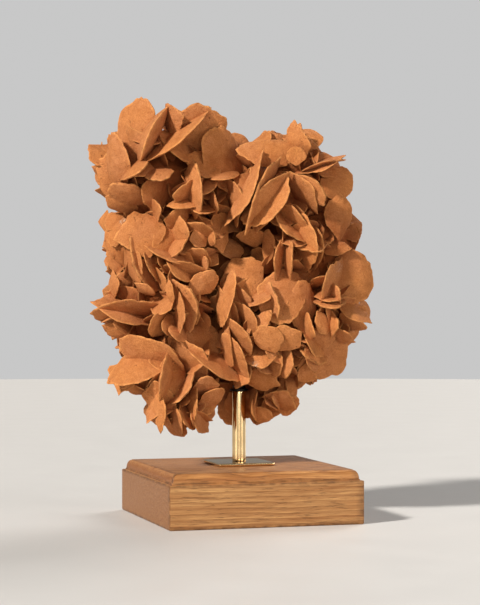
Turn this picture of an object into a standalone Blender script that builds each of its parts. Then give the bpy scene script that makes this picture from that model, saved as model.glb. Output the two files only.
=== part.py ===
"""Gypsum sand rose on a brass tube, a brass plate and a moulded wooden plinth.

The frame: origin under the middle of the plinth, +Z up, +Y towards the back, metres.
The rose hangs on a threaded rod that stands in the plinth. Its show side looks towards -Y,
and it is turned a little about the rod. Each blade of gypsum is a lens: two shallow domes
that meet in a sharp rim. The blades grow through each other, so the rose is one solid.
"""

import math

import bmesh
import bpy
import numpy as np

MM = 0.001
GAP = 0.3  # air between two pieces that touch, mm

# Plinth, mm
PLINTH_SIDE = 170.0
PLINTH_HEIGHT = 46.0
TOP_INSET = 7.3  # how far the top stands back from the sides
LEDGE_DEPTH = 9.1  # from the top down to the small ledge under the moulding

# Brass and steel, mm
PLATE_SIDE = 50.0
PLATE_THICKNESS = 2.5
TUBE_RADIUS = 6.0
TUBE_BORE = 3.4
TUBE_TOP = 110.0
ROD_RADIUS = 3.0
ROD_FOOT = 26.0
ROD_TOP = 190.0
WASHER_RADIUS = 8.0
WASHER_THICKNESS = 1.6
NUT_FLATS = 10.0
NUT_THICKNESS = 3.0
INSERT_RADIUS = 4.5
INSERT_LENGTH = 15.0
SLEEVE_BORE = ROD_RADIUS + GAP

# Heights that follow from the sizes above, mm
PLATE_FOOT = PLINTH_HEIGHT + GAP
TUBE_FOOT = PLATE_FOOT + PLATE_THICKNESS + GAP
WASHER_FOOT = TUBE_TOP + GAP
NUT_FOOT = WASHER_FOOT + WASHER_THICKNESS + GAP
NUT_TOP = NUT_FOOT + NUT_THICKNESS

# The rose, mm and degrees
TURN = -17.0  # about the rod
BLADE_CORNERS = 7
SMALLEST_BLADE = 320.0  # half length times half width; finer blades are left to the finished surface
GOLDEN_ANGLE = 137.508
RIM_START = 0.9  # turn of the first corner from one blade to the next, radians

# Blades of the show side, by rosette. Each row is
#   kind, x, z, out, lean, tilt, a, b, thickness
# x runs to the right, z up from the floor and out towards the viewer, from the rod.
# L places the middle of the blade. E places the middle of its nearest rim.
# tilt is 0 for a blade seen flat and 90 for one seen on its edge. It tips towards lean,
# which is 0 to the right and 90 up. a is half the length across the lean, b half the width.
ROSETTES = {
    "crown_left": [
        ("L", -89, 333, 22, 172, 30, 33, 20, 9), ("L", -104, 309, 32, 190, 55, 26, 18, 8),
        ("E", -75, 328, 60, 155, 80, 29, 30, 14), ("E", -55, 320, 62, 126, 78, 42, 32, 11),
        ("E", -84, 297, 64, 130, 78, 17, 22, 9), ("L", -57, 345, 30, 190, 60, 13, 14, 6),
        ("L", -34, 333, 18, 300, 25, 27, 29, 9), ("L", -13, 310, 22, 15, 38, 31, 21, 9),
        ("L", -30, 306, 34, 60, 35, 16, 13, 5), ("E", -14, 290, 48, 95, 72, 15, 18, 5),
        ("L", -68, 297, 48, 95, 58, 13, 12, 5), ("L", -117, 317, -2, 80, 45, 17, 16, 6),
        ("L", -116, 301, 0, 250, 50, 14, 12, 6), ("L", -112, 296, 8, 200, 30, 20, 14, 6),
        ("L", -71, 282, 38, 340, 35, 14, 14, 6), ("L", -94, 280, 36, 255, 50, 18, 14, 6),
        ("L", -101, 273, 22, 250, 50, 16, 12, 6), ("E", -68, 268, 50, 200, 75, 12, 16, 4),
    ],
    "crown_mid": [
        ("L", -48, 271, 46, 92, 55, 13, 8, 5), ("E", -49, 286, 54, 320, 65, 18, 16, 6),
        ("E", -29, 284, 60, 185, 62, 24, 16, 6), ("E", -18, 275, 50, 190, 72, 12, 14, 4),
        ("E", -32, 263, 52, 80, 70, 13, 14, 4), ("L", -52, 261, 40, 310, 40, 12, 9, 5),
        ("L", -10, 280, 15, 10, 35, 12, 12, 5), ("E", -42, 250, 58, 190, 60, 11, 12, 5),
        ("E", -48, 232, 56, 140, 65, 12, 12, 5), ("E", -30, 255, 52, 250, 60, 13, 12, 5),
        ("E", -19, 244, 50, 190, 60, 8, 10, 4), ("L", -34, 242, 46, 30, 30, 8, 8, 4),
        ("L", -17, 249, 32, 5, 32, 16, 10, 5), ("L", -8, 235, 12, 60, 30, 14, 10, 5),
        ("E", -32, 233, 52, 250, 60, 13, 14, 5), ("E", -26, 221, 52, 185, 70, 9, 12, 4),
        ("L", -30, 204, 46, 300, 25, 14, 10, 6), ("E", -36, 188, 54, 200, 70, 17, 12, 5),
    ],
    "left_upper": [
        ("L", -82, 247, 40, 100, 20, 19, 18, 6), ("L", -60, 240, 38, 20, 30, 14, 15, 6),
        ("L", -109, 258, 10, 130, 35, 10, 9, 6), ("L", -110, 241, 12, 180, 40, 14, 10, 6),
        ("L", -104, 248, 20, 150, 40, 14, 10, 6), ("L", -105, 232, 14, 200, 50, 14, 10, 6),
        ("L", -90, 221, 38, 195, 50, 20, 12, 7), ("E", -79, 217, 52, 23, 65, 20, 18, 6),
        ("E", -62, 225, 56, 70, 65, 23, 18, 6), ("E", -55, 214, 58, 30, 70, 12, 12, 4),
        ("E", -63, 208, 54, 200, 75, 10, 10, 4), ("L", -108, 226, 8, 190, 45, 15, 9, 6),
        ("L", -105, 202, 12, 190, 50, 12, 9, 6), ("E", -103, 203, 30, 180, 70, 11, 12, 4),
        ("L", -96, 206, 18, 300, 30, 12, 10, 5), ("L", -80, 199, 44, 240, 50, 10, 6, 4),
    ],
    "left_mouth": [
        ("E", -91, 191, 50, 272, 60, 35, 22, 6), ("E", -102, 169, 50, 72, 62, 26, 22, 6),
        ("L", -106, 163, 20, 250, 40, 12, 9, 5), ("E", -75, 173, 58, 332, 60, 13, 14, 5),
        ("E", -61, 179, 58, 126, 65, 11, 12, 5), ("E", -65, 165, 54, 15, 60, 10, 12, 4),
        ("L", -58, 197, 56, 190, 50, 10, 5, 4), ("E", -53, 184, 64, 352, 62, 22, 14, 7),
        ("E", -57, 158, 54, 40, 60, 10, 10, 4),
    ],
    "left_foot": [
        ("E", -66, 155, 48, 242, 40, 30, 22, 8), ("E", -88, 117, 52, 106, 45, 28, 21, 7),
        ("L", -84, 114, 30, 270, 50, 15, 10, 5), ("E", -66, 111, 66, 352, 70, 35, 18, 9),
        ("L", -70, 94, 40, 200, 30, 17, 12, 6), ("L", -56, 131, 42, 20, 30, 13, 11, 5),
        ("L", -54, 119, 44, 40, 30, 11, 11, 5), ("E", -46, 111, 58, 139, 78, 21, 18, 6),
        ("E", -26, 129, 60, 57, 70, 29, 20, 6), ("L", -28, 116, 40, 280, 50, 11, 12, 5),
        ("L", -24, 107, 34, 300, 35, 16, 13, 6), ("E", -34, 98, 54, 180, 70, 17, 16, 6),
        ("L", -43, 92, 36, 350, 35, 16, 14, 6), ("E", -49, 87, 50, 25, 70, 13, 14, 4),
        ("L", -27, 93, 26, 310, 30, 16, 12, 6), ("E", -33, 148, 48, 223, 45, 25, 22, 8),
        ("L", -33, 150, 24, 0, 20, 23, 18, 8), ("L", -54, 86, 20, 280, 40, 14, 10, 5),
    ],
    "crown_right": [
        ("L", 29, 331, -10, 90, 30, 10, 8, 5), ("L", 48, 334, 0, 150, 45, 12, 9, 5),
        ("L", 64, 322, 14, 25, 35, 26, 15, 7), ("L", 51, 326, 24, 195, 30, 18, 9, 6),
        ("L", 26, 317, 26, 90, 35, 28, 16, 8), ("L", 8, 311, 14, 250, 45, 12, 8, 5),
        ("L", 4, 297, 8, 200, 40, 12, 9, 5), ("E", 9, 281, 62, 150, 75, 23, 30, 7),
        ("E", 14, 283, 68, 336, 72, 38, 26, 10), ("L", 27, 277, 50, 322, 55, 27, 18, 7),
        ("L", 49, 313, 38, 90, 20, 8, 9, 5), ("E", 50, 305, 40, 230, 70, 11, 14, 5),
        ("E", 72, 301, 50, 106, 78, 23, 22, 6), ("E", 70, 304, 46, 106, 70, 20, 18, 4),
        ("L", 63, 283, 46, 220, 50, 17, 10, 5), ("E", 63, 287, 44, 40, 75, 13, 12, 4),
        ("L", 84, 290, 22, 20, 30, 16, 18, 7), ("L", 86, 263, 24, 0, 25, 19, 14, 8),
        ("E", 53, 267, 50, 225, 70, 14, 16, 5),
    ],
    "right_mid": [
        ("L", 55, 247, 40, 270, 50, 14, 10, 5), ("E", 72, 238, 52, 190, 65, 20, 18, 6),
        ("E", 63, 230, 54, 90, 65, 13, 14, 5), ("E", 41, 247, 60, 45, 72, 21, 20, 7),
        ("E", 49, 228, 54, 175, 60, 12, 14, 6), ("E", 31, 229, 46, 0, 65, 19, 16, 6),
        ("L", 25, 236, 32, 180, 45, 14, 7, 4), ("L", 12, 244, 22, 270, 40, 13, 9, 5),
        ("L", 3, 206, 34, 100, 25, 19, 20, 7), ("L", 58, 215, 26, 90, 30, 12, 12, 5),
        ("L", 84, 234, 32, 90, 30, 10, 7, 5), ("L", 97, 209, 22, 5, 18, 25, 23, 9),
        ("L", 103, 178, 20, 300, 35, 9, 8, 5), ("E", 71, 204, 56, 340, 70, 25, 20, 8),
        ("E", 86, 197, 52, 200, 65, 14, 14, 5), ("E", 78, 187, 54, 90, 70, 12, 14, 4),
        ("E", 78, 182, 56, 92, 72, 14, 16, 4), ("E", 95, 172, 44, 60, 60, 16, 14, 6),
        ("L", 97, 171, 36, 240, 50, 13, 8, 5), ("E", 92, 163, 46, 245, 65, 8, 10, 3),
        ("E", 85, 168, 50, 180, 70, 10, 12, 4), ("L", 71, 170, 44, 20, 40, 10, 8, 5),
        ("E", 64, 168, 54, 190, 65, 12, 12, 4), ("L", 41, 197, 46, 60, 20, 22, 21, 8),
        ("L", 57, 189, 42, 0, 25, 19, 10, 6),
    ],
    "centre_right": [
        ("E", -13, 188, 44, 8, 50, 22, 16, 6), ("E", -4, 184, 54, 332, 55, 14, 14, 5),
        ("E", 11, 192, 58, 204, 50, 14, 14, 5), ("E", 13, 173, 66, 210, 45, 21, 20, 8),
        ("E", 2, 158, 62, 46, 45, 20, 18, 7), ("E", 0, 144, 54, 40, 48, 21, 20, 7),
        ("E", 20, 197, 52, 300, 45, 12, 14, 5), ("E", 37, 184, 60, 185, 72, 20, 16, 5),
        ("E", 24, 185, 66, 118, 70, 13, 14, 4), ("L", 21, 173, 56, 150, 40, 10, 8, 4),
        ("L", 25, 158, 60, 260, 20, 14, 12, 7), ("L", 40, 157, 56, 270, 22, 15, 12, 7),
        ("L", 28, 137, 44, 250, 30, 11, 12, 6), ("L", 44, 134, 42, 285, 20, 14, 13, 7),
        ("L", 18, 122, 30, 250, 35, 18, 14, 7), ("E", 5, 124, 46, 160, 70, 13, 14, 5),
    ],
    "right_foot": [
        ("L", 77, 142, 22, 330, 20, 22, 17, 9), ("L", 62, 128, 24, 300, 30, 13, 10, 6),
        ("L", 72, 158, 38, 300, 30, 12, 10, 5), ("E", 58, 149, 54, 36, 70, 14, 18, 5),
        ("E", 58, 138, 52, 55, 65, 16, 18, 5),
    ],
    "back_foot": [
        ("E", 12, 98, 20, 2, 80, 15, 14, 5), ("E", 16, 103, 22, 170, 75, 10, 12, 4),
        ("E", 24, 101, 24, 31, 75, 9, 12, 4), ("L", 20, 90, 10, 250, 30, 10, 8, 5),
        ("E", 30, 104, 26, 0, 75, 9, 12, 5), ("L", 36, 101, 12, 275, 55, 12, 14, 5),
        ("E", 39, 110, 30, 250, 60, 15, 14, 5), ("L", 43, 114, 6, 20, 25, 12, 9, 6),
        ("L", -6, 96, -20, 0, 20, 18, 14, 6), ("L", 8, 100, -22, 340, 30, 16, 12, 6),
    ],
}

# Rosettes of the back, the sides and the underside, grown by rule. Each row is
#   x, z, out, heading, rise, radius, count
# heading is where it faces: 0 to the viewer, 90 to the right, 180 to the back. rise is up.
GROWN = [
    (-72, 298, -42, 190, 15, 38, 5), (-20, 305, -46, 180, 35, 34, 4), (50, 300, -42, 170, 20, 38, 5),
    (-88, 228, -40, 215, 0, 36, 4), (-18, 232, -52, 180, 0, 40, 5), (66, 228, -46, 160, 0, 38, 5),
    (-72, 160, -42, 200, -10, 38, 5), (5, 158, -54, 180, -5, 40, 5), (66, 168, -34, 145, -20, 34, 4),
    (-55, 108, -32, 195, -35, 32, 4), (10, 108, -40, 175, -45, 30, 4), (-104, 285, 0, 262, 5, 24, 3),
    (-104, 215, -4, 265, 0, 24, 3), (-98, 150, -2, 262, -15, 24, 3), (96, 255, -4, 92, 10, 24, 3),
    (92, 180, -2, 95, -20, 22, 3), (-45, 330, -8, 180, 80, 24, 3), (25, 322, -12, 180, 75, 24, 3),
]

# The packed heart of the rose that the blades grow from: x, z, out, then half sizes along x, z, out
HEART = [
    (-70, 292, -2, 40, 38, 44), (-76, 232, -6, 32, 42, 42), (-78, 182, -2, 30, 38, 38),
    (-60, 128, 0, 34, 36, 38), (-25, 292, -14, 42, 38, 42), (-20, 225, -34, 40, 54, 36),
    (46, 290, -4, 42, 34, 42), (62, 234, -4, 44, 46, 42), (46, 182, 0, 42, 38, 40),
    (28, 146, 2, 26, 28, 34), (-20, 165, -38, 48, 44, 30), (2, 122, -32, 40, 28, 28),
    (14, 102, -14, 22, 16, 18), (-44, 104, 16, 22, 18, 18), (-40, 188, 18, 16, 26, 22),
    (2, 200, 6, 16, 24, 24), (-38, 282, 16, 18, 20, 24),
]


def material(name, colour, roughness, metallic=0.0):
    made = bpy.data.materials.new(name)
    made.use_nodes = True
    shader = made.node_tree.nodes["Principled BSDF"]
    shader.inputs["Base Color"].default_value = (*colour, 1.0)
    shader.inputs["Roughness"].default_value = roughness
    shader.inputs["Metallic"].default_value = metallic
    return made


def solid(name, points, faces, finish=None):
    """A mesh object from points in millimetres."""
    mesh = bpy.data.meshes.new(name)
    mesh.from_pydata((np.asarray(points) * MM).tolist(), [], faces)
    mesh.update()
    made = bpy.data.objects.new(name, mesh)
    bpy.context.scene.collection.objects.link(made)
    if finish:
        mesh.materials.append(finish)
    return made


def helper(made):
    """Marks an object that only cuts or joins."""
    made.hide_render = True
    made.display_type = "WIRE"
    return made


def boolean(target, operation, other):
    """Cuts or joins with an object, or with every object of a collection."""
    step = target.modifiers.new(operation.title(), "BOOLEAN")
    step.operation = operation
    step.solver = "EXACT"
    if isinstance(other, bpy.types.Collection):
        step.operand_type = "COLLECTION"
        step.collection = other
    else:
        step.object = other


def soften(target, width, segments=2):
    step = target.modifiers.new("Soft edges", "BEVEL")
    step.width = width * MM
    step.segments = segments
    step.limit_method = "ANGLE"
    step.angle_limit = math.radians(50)


def loft(rings):
    """Faces that join rings of equal length, bottom to top, with both ends capped."""
    count = len(rings[0])
    points = [point for ring in rings for point in ring]
    faces = [list(reversed(range(count)))]
    for level in range(len(rings) - 1):
        low, high = level * count, (level + 1) * count
        for i in range(count):
            j = (i + 1) % count
            faces.append([low + i, low + j, high + j, high + i])
    top = (len(rings) - 1) * count
    faces.append(list(range(top, top + count)))
    return points, faces


def square_ring(half, z):
    return [(-half, -half, z), (half, -half, z), (half, half, z), (-half, half, z)]


def round_ring(radius, z, count, start=0.0):
    turns = [start + 2 * math.pi * i / count for i in range(count)]
    return [(radius * math.cos(t), radius * math.sin(t), z) for t in turns]


def turned(name, profile, finish=None, count=32):
    """A turned solid from (radius, z) pairs, bottom to top."""
    return solid(name, *loft([round_ring(r, z, count) for r, z in profile]), finish)


def sleeve(name, profile, bore, finish, count=32):
    """A turned tube: the profile runs up the outside and the bore comes down the inside."""
    outside = [round_ring(r, z, count) for r, z in profile]
    inside = [round_ring(bore, z, count) for z in (profile[-1][1], profile[0][1])]
    rings = outside + inside
    points = [point for ring in rings for point in ring]
    faces = []
    for level in range(len(rings)):
        low, high = level * count, (level + 1) % len(rings) * count
        for i in range(count):
            j = (i + 1) % count
            faces.append([low + i, low + j, high + j, high + i])
    return solid(name, points, faces, finish)


def plinth_profile():
    """(inset from the side, z) up the plinth: foot, wall, ledge, cove, quarter round and top."""
    ledge = PLINTH_HEIGHT - LEDGE_DEPTH
    profile = [(1.0, 0.0), (0.0, 1.0), (0.0, ledge - 0.8), (0.8, ledge), (2.6, ledge)]
    cove = 1.4
    for angle in (30, 60, 90):
        turn = math.radians(angle)
        profile.append((2.6 + cove * (1 - math.cos(turn)) * 0.5, ledge + cove * math.sin(turn)))
    foot, rise = 3.3, PLINTH_HEIGHT - ledge - cove
    for angle in (20, 40, 60, 80):
        turn = math.radians(angle)
        profile.append((foot + (TOP_INSET - foot) * (1 - math.cos(turn)), ledge + cove + rise * 0.94 * math.sin(turn)))
    profile.append((TOP_INSET + 0.5, PLINTH_HEIGHT))
    return profile


def wooden_plinth(finish):
    rings = [square_ring(PLINTH_SIDE / 2 - inset, z) for inset, z in plinth_profile()]
    plinth = solid("wooden_plinth", *loft(rings), finish)
    insert_foot = PLINTH_HEIGHT - INSERT_LENGTH - 2 * GAP
    steps = [
        (SLEEVE_BORE, ROD_FOOT - 2.0),
        (SLEEVE_BORE, insert_foot),
        (INSERT_RADIUS + GAP, insert_foot),
        (INSERT_RADIUS + GAP, PLINTH_HEIGHT + 2.0),
    ]
    boolean(plinth, "DIFFERENCE", helper(turned("plinth_bore", steps)))


def threaded_insert(finish):
    top = PLINTH_HEIGHT - GAP
    foot = top - INSERT_LENGTH
    profile = [
        (INSERT_RADIUS - 0.6, foot),
        (INSERT_RADIUS, foot + 0.6),
        (INSERT_RADIUS, top - 0.4),
        (INSERT_RADIUS - 0.4, top),
    ]
    sleeve("threaded_insert", profile, SLEEVE_BORE, finish, 24)


def brass_plate(finish):
    rings = [square_ring(PLATE_SIDE / 2, z) for z in (PLATE_FOOT, PLATE_FOOT + PLATE_THICKNESS)]
    plate = solid("brass_plate", *loft(rings), finish)
    soften(plate, 0.5)
    drill = [(SLEEVE_BORE, PLATE_FOOT - 2.0), (SLEEVE_BORE, PLATE_FOOT + PLATE_THICKNESS + 2.0)]
    boolean(plate, "DIFFERENCE", helper(turned("plate_drill", drill, count=24)))


def brass_tube(finish):
    edge = 0.4
    profile = [
        (TUBE_RADIUS - edge, TUBE_FOOT),
        (TUBE_RADIUS, TUBE_FOOT + edge),
        (TUBE_RADIUS, TUBE_TOP - edge),
        (TUBE_RADIUS - edge, TUBE_TOP),
    ]
    sleeve("brass_tube", profile, TUBE_BORE, finish)


def tube_washer(finish):
    edge = 0.25
    top = WASHER_FOOT + WASHER_THICKNESS
    profile = [
        (WASHER_RADIUS - edge, WASHER_FOOT),
        (WASHER_RADIUS, WASHER_FOOT + edge),
        (WASHER_RADIUS, top - edge),
        (WASHER_RADIUS - edge, top),
    ]
    sleeve("tube_washer", profile, SLEEVE_BORE, finish)


def tube_nut(finish):
    corner = NUT_FLATS / math.sqrt(3)
    rings = [round_ring(corner, z, 6) for z in (NUT_FOOT, NUT_TOP)]
    nut = solid("tube_nut", *loft(rings), finish)
    soften(nut, 0.4, 1)
    drill = [(SLEEVE_BORE, NUT_FOOT - 1.0), (SLEEVE_BORE, NUT_TOP + 1.0)]
    boolean(nut, "DIFFERENCE", helper(turned("nut_drill", drill, count=24)))


def threaded_rod(finish):
    edge = 0.6
    profile = [
        (ROD_RADIUS - edge, ROD_FOOT),
        (ROD_RADIUS, ROD_FOOT + edge),
        (ROD_RADIUS, ROD_TOP - edge),
        (ROD_RADIUS - edge, ROD_TOP),
    ]
    turned("threaded_rod", profile, finish, 24)


def stone_to_row(points):
    """Turns points of the rose's own frame about the rod."""
    turn = math.radians(TURN)
    spin = np.array([[math.cos(turn), -math.sin(turn), 0], [math.sin(turn), math.cos(turn), 0], [0, 0, 1]])
    return np.asarray(points) @ spin.T


def blade_axes(lean, tilt):
    """The normal, the long axis and the axis that runs away from the viewer."""
    p, t = math.radians(lean), math.radians(tilt)
    normal = np.array([math.sin(t) * math.cos(p), -math.cos(t), math.sin(t) * math.sin(p)])
    across = np.array([-math.sin(p), 0.0, math.cos(p)])
    away = np.array([math.cos(t) * math.cos(p), math.sin(t), math.cos(t) * math.sin(p)])
    return normal, across, away


def placed_blades():
    """Centre, axes and half sizes of each blade of the show side."""
    for rows in ROSETTES.values():
        for kind, x, z, out, lean, tilt, a, b, thickness in rows:
            if a * b < SMALLEST_BLADE:
                continue
            normal, across, away = blade_axes(lean, tilt)
            centre = np.array([x, -out, z], float) + (b * away if kind == "E" else 0.0)
            yield centre, normal, across, away, a, b, thickness


def grown_blades():
    """Blades set by the golden angle round each rosette: on edge in its middle, leaning out at its rim."""
    for x, z, out, heading, rise, radius, count in GROWN:
        h, r = math.radians(heading), math.radians(rise)
        facing = np.array([math.sin(h) * math.cos(r), -math.cos(h) * math.cos(r), math.sin(r)])
        side = np.cross(facing, [0.0, 0.0, 1.0] if abs(rise) < 60 else [0.0, 1.0, 0.0])
        side /= np.linalg.norm(side)
        up = np.cross(side, facing)
        for k in range(count):
            turn = math.radians(GOLDEN_ANGLE * k + x + z)
            spread = math.sqrt((k + 0.5) / count)
            outward = side * math.cos(turn) + up * math.sin(turn)
            twist = math.radians(70 * math.sin(2.4 * k + z))
            tangent = np.cross(facing, outward)
            flat = outward * math.cos(twist) + tangent * math.sin(twist)
            lean = math.radians(80 - 42 * spread)
            normal = facing * math.cos(lean) + flat * math.sin(lean)
            across = np.cross(facing, flat)
            away = np.cross(normal, across)
            centre = np.array([x, -out, z]) + outward * radius * 0.72 * spread - facing * radius * 0.35 * spread**2
            size = radius * (0.66 + 0.16 * math.sin(3.1 * k + x))
            yield centre, normal, across, away, size, size * 0.86, 0.26 * size


def blade_mesh(centre, normal, across, away, a, b, thickness, start):
    """A lens with a sharp, slightly uneven rim."""
    turns = start + np.linspace(0.0, 2 * math.pi, BLADE_CORNERS, endpoint=False)
    reach = 1.0 + 0.05 * np.sin(3.7 * np.arange(BLADE_CORNERS) + 5.0 * start)
    rim = (
        centre
        + (a * reach * np.cos(turns))[:, None] * across
        + (b * reach * np.sin(turns))[:, None] * away
    )
    points = np.vstack([rim, centre + normal * thickness / 2, centre - normal * thickness / 2])
    corners = range(BLADE_CORNERS)
    faces = []
    for i in corners:
        j = (i + 1) % BLADE_CORNERS
        faces.append([i, j, BLADE_CORNERS + 1])
        faces.append([j, i, BLADE_CORNERS])
    return points, faces


def heart_mesh(x, z, out, half_x, half_z, half_out, count=8, levels=5):
    """An ellipsoid of the packed heart."""
    rings = []
    for level in range(1, levels):
        polar = math.pi * level / levels
        radius, height = math.sin(polar), -math.cos(polar)
        ring = np.array(round_ring(radius, height, count, level * 0.3))
        rings.append(ring * [half_x, half_out, half_z] + [x, -out, z])
    points = np.vstack([*rings, [[x, -out, z - half_z]], [[x, -out, z + half_z]]])
    foot, top = len(points) - 2, len(points) - 1
    faces = []
    for level in range(levels - 2):
        low, high = level * count, (level + 1) * count
        for i in range(count):
            j = (i + 1) % count
            faces.append([low + i, low + j, high + j, high + i])
    last = (levels - 2) * count
    for i in range(count):
        j = (i + 1) % count
        faces.append([foot, j, i])
        faces.append([last + i, last + j, top])
    return points, faces


def apply_modifiers(target):
    """Swaps the mesh for the one that its modifiers give."""
    graph = bpy.context.evaluated_depsgraph_get()
    mesh = bpy.data.meshes.new_from_object(target.evaluated_get(graph))
    target.modifiers.clear()
    target.data = mesh


def shells(mesh):
    """The faces of each shell of a bmesh, joined across edges that two faces share, largest first."""
    found, seen = [], set()
    for start in mesh.faces:
        if start in seen:
            continue
        seen.add(start)
        shell = [start]
        for face in shell:
            for edge in face.edges:
                if len(edge.link_faces) != 2:
                    continue
                for other in edge.link_faces:
                    if other not in seen:
                        seen.add(other)
                        shell.append(other)
        found.append(shell)
    return sorted(found, key=len, reverse=True)


def keep_outer_shell(target):
    """Fills the pockets sealed between blades and drops a blade that doesn't reach the rest."""
    mesh = bmesh.new()
    mesh.from_mesh(target.data)
    idle = [vertex for vertex in mesh.verts if len(vertex.link_edges) == 2]
    bmesh.ops.dissolve_verts(mesh, verts=idle)
    bmesh.ops.triangulate(mesh, faces=mesh.faces)
    loose = [face for shell in shells(mesh)[1:] for face in shell]
    bmesh.ops.delete(mesh, geom=loose, context="FACES")
    mesh.to_mesh(target.data)
    mesh.free()


def sand_rose(finish):
    """Every blade joined to the heart, drilled from below for the rod."""
    lumps = [heart_mesh(*row) for row in HEART]
    blades = [*placed_blades(), *grown_blades()]
    lumps += [blade_mesh(*blade, start=RIM_START * i) for i, blade in enumerate(blades)]
    rose = solid("sand_rose", stone_to_row(lumps[0][0]), lumps[0][1], finish)
    grown = bpy.data.collections.new("rose_lumps")
    bpy.context.scene.collection.children.link(grown)
    for i, (points, faces) in enumerate(lumps[1:]):
        lump = helper(solid(f"rose_lump_{i + 2}", stone_to_row(points), faces))
        bpy.context.scene.collection.objects.unlink(lump)
        grown.objects.link(lump)
    boolean(rose, "UNION", grown)
    room = 0.6
    steps = [
        (TUBE_RADIUS + room, 60.0),
        (TUBE_RADIUS + room, WASHER_FOOT - room),
        (WASHER_RADIUS + room, WASHER_FOOT - room),
        (WASHER_RADIUS + room, NUT_TOP + room),
        (SLEEVE_BORE, NUT_TOP + room),
        (SLEEVE_BORE, ROD_TOP + GAP),
    ]
    boolean(rose, "DIFFERENCE", helper(turned("rose_drill", steps, count=20)))
    apply_modifiers(rose)
    keep_outer_shell(rose)


def main():
    for old in list(bpy.data.objects):
        bpy.data.objects.remove(old)
    stone = material("terracotta gypsum", (0.55, 0.24, 0.10), 0.85)
    wood = material("satin hardwood", (0.33, 0.12, 0.045), 0.35)
    brass = material("polished brass", (0.80, 0.56, 0.22), 0.22, 1.0)
    steel = material("blackened steel", (0.05, 0.045, 0.04), 0.5, 1.0)
    wooden_plinth(wood)
    threaded_insert(brass)
    brass_plate(brass)
    brass_tube(brass)
    tube_washer(steel)
    tube_nut(steel)
    threaded_rod(steel)
    sand_rose(stone)


main()
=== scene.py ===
"""The finished surfaces of a gypsum sand rose on its stand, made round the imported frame.

Every place is in millimetres in the frame of the stand: the origin is under the middle of the
plinth, +Z is up and -Y is the show side. Shapes are grids worked out with numpy.
"""

import math

import bpy
import numpy as np
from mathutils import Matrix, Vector


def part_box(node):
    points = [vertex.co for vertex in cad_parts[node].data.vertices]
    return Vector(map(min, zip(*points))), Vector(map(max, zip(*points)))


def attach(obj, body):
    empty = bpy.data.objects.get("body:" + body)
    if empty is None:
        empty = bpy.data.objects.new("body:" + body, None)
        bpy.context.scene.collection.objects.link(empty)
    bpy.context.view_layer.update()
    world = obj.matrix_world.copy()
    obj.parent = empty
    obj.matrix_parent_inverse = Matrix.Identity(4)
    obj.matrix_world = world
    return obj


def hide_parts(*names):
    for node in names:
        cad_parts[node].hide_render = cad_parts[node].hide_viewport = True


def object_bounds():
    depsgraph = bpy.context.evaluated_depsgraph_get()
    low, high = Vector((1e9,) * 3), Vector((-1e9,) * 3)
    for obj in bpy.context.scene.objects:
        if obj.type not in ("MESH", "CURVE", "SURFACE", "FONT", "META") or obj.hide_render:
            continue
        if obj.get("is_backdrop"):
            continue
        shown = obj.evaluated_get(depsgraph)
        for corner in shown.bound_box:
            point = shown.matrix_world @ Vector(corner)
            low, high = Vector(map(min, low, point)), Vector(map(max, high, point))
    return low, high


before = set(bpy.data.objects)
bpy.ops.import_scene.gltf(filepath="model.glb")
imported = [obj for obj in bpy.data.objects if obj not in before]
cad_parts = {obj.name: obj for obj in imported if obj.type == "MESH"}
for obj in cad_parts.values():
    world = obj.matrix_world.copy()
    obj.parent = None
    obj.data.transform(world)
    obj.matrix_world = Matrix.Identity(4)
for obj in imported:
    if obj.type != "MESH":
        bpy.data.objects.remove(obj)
CAD_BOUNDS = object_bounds()

bl_info = {
    "name": "Sand Rose on a Stand",
    "version": (1, 0, 0),
    "blender": (4, 5, 0),
    "location": "3D View > Sidebar > Sand Rose",
    "description": "Makes a gypsum sand rose, its brass and wood stand and a plain studio round them",
    "category": "Add Mesh",
}

MM = 0.001
GOLDEN_ANGLE = 137.508

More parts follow.
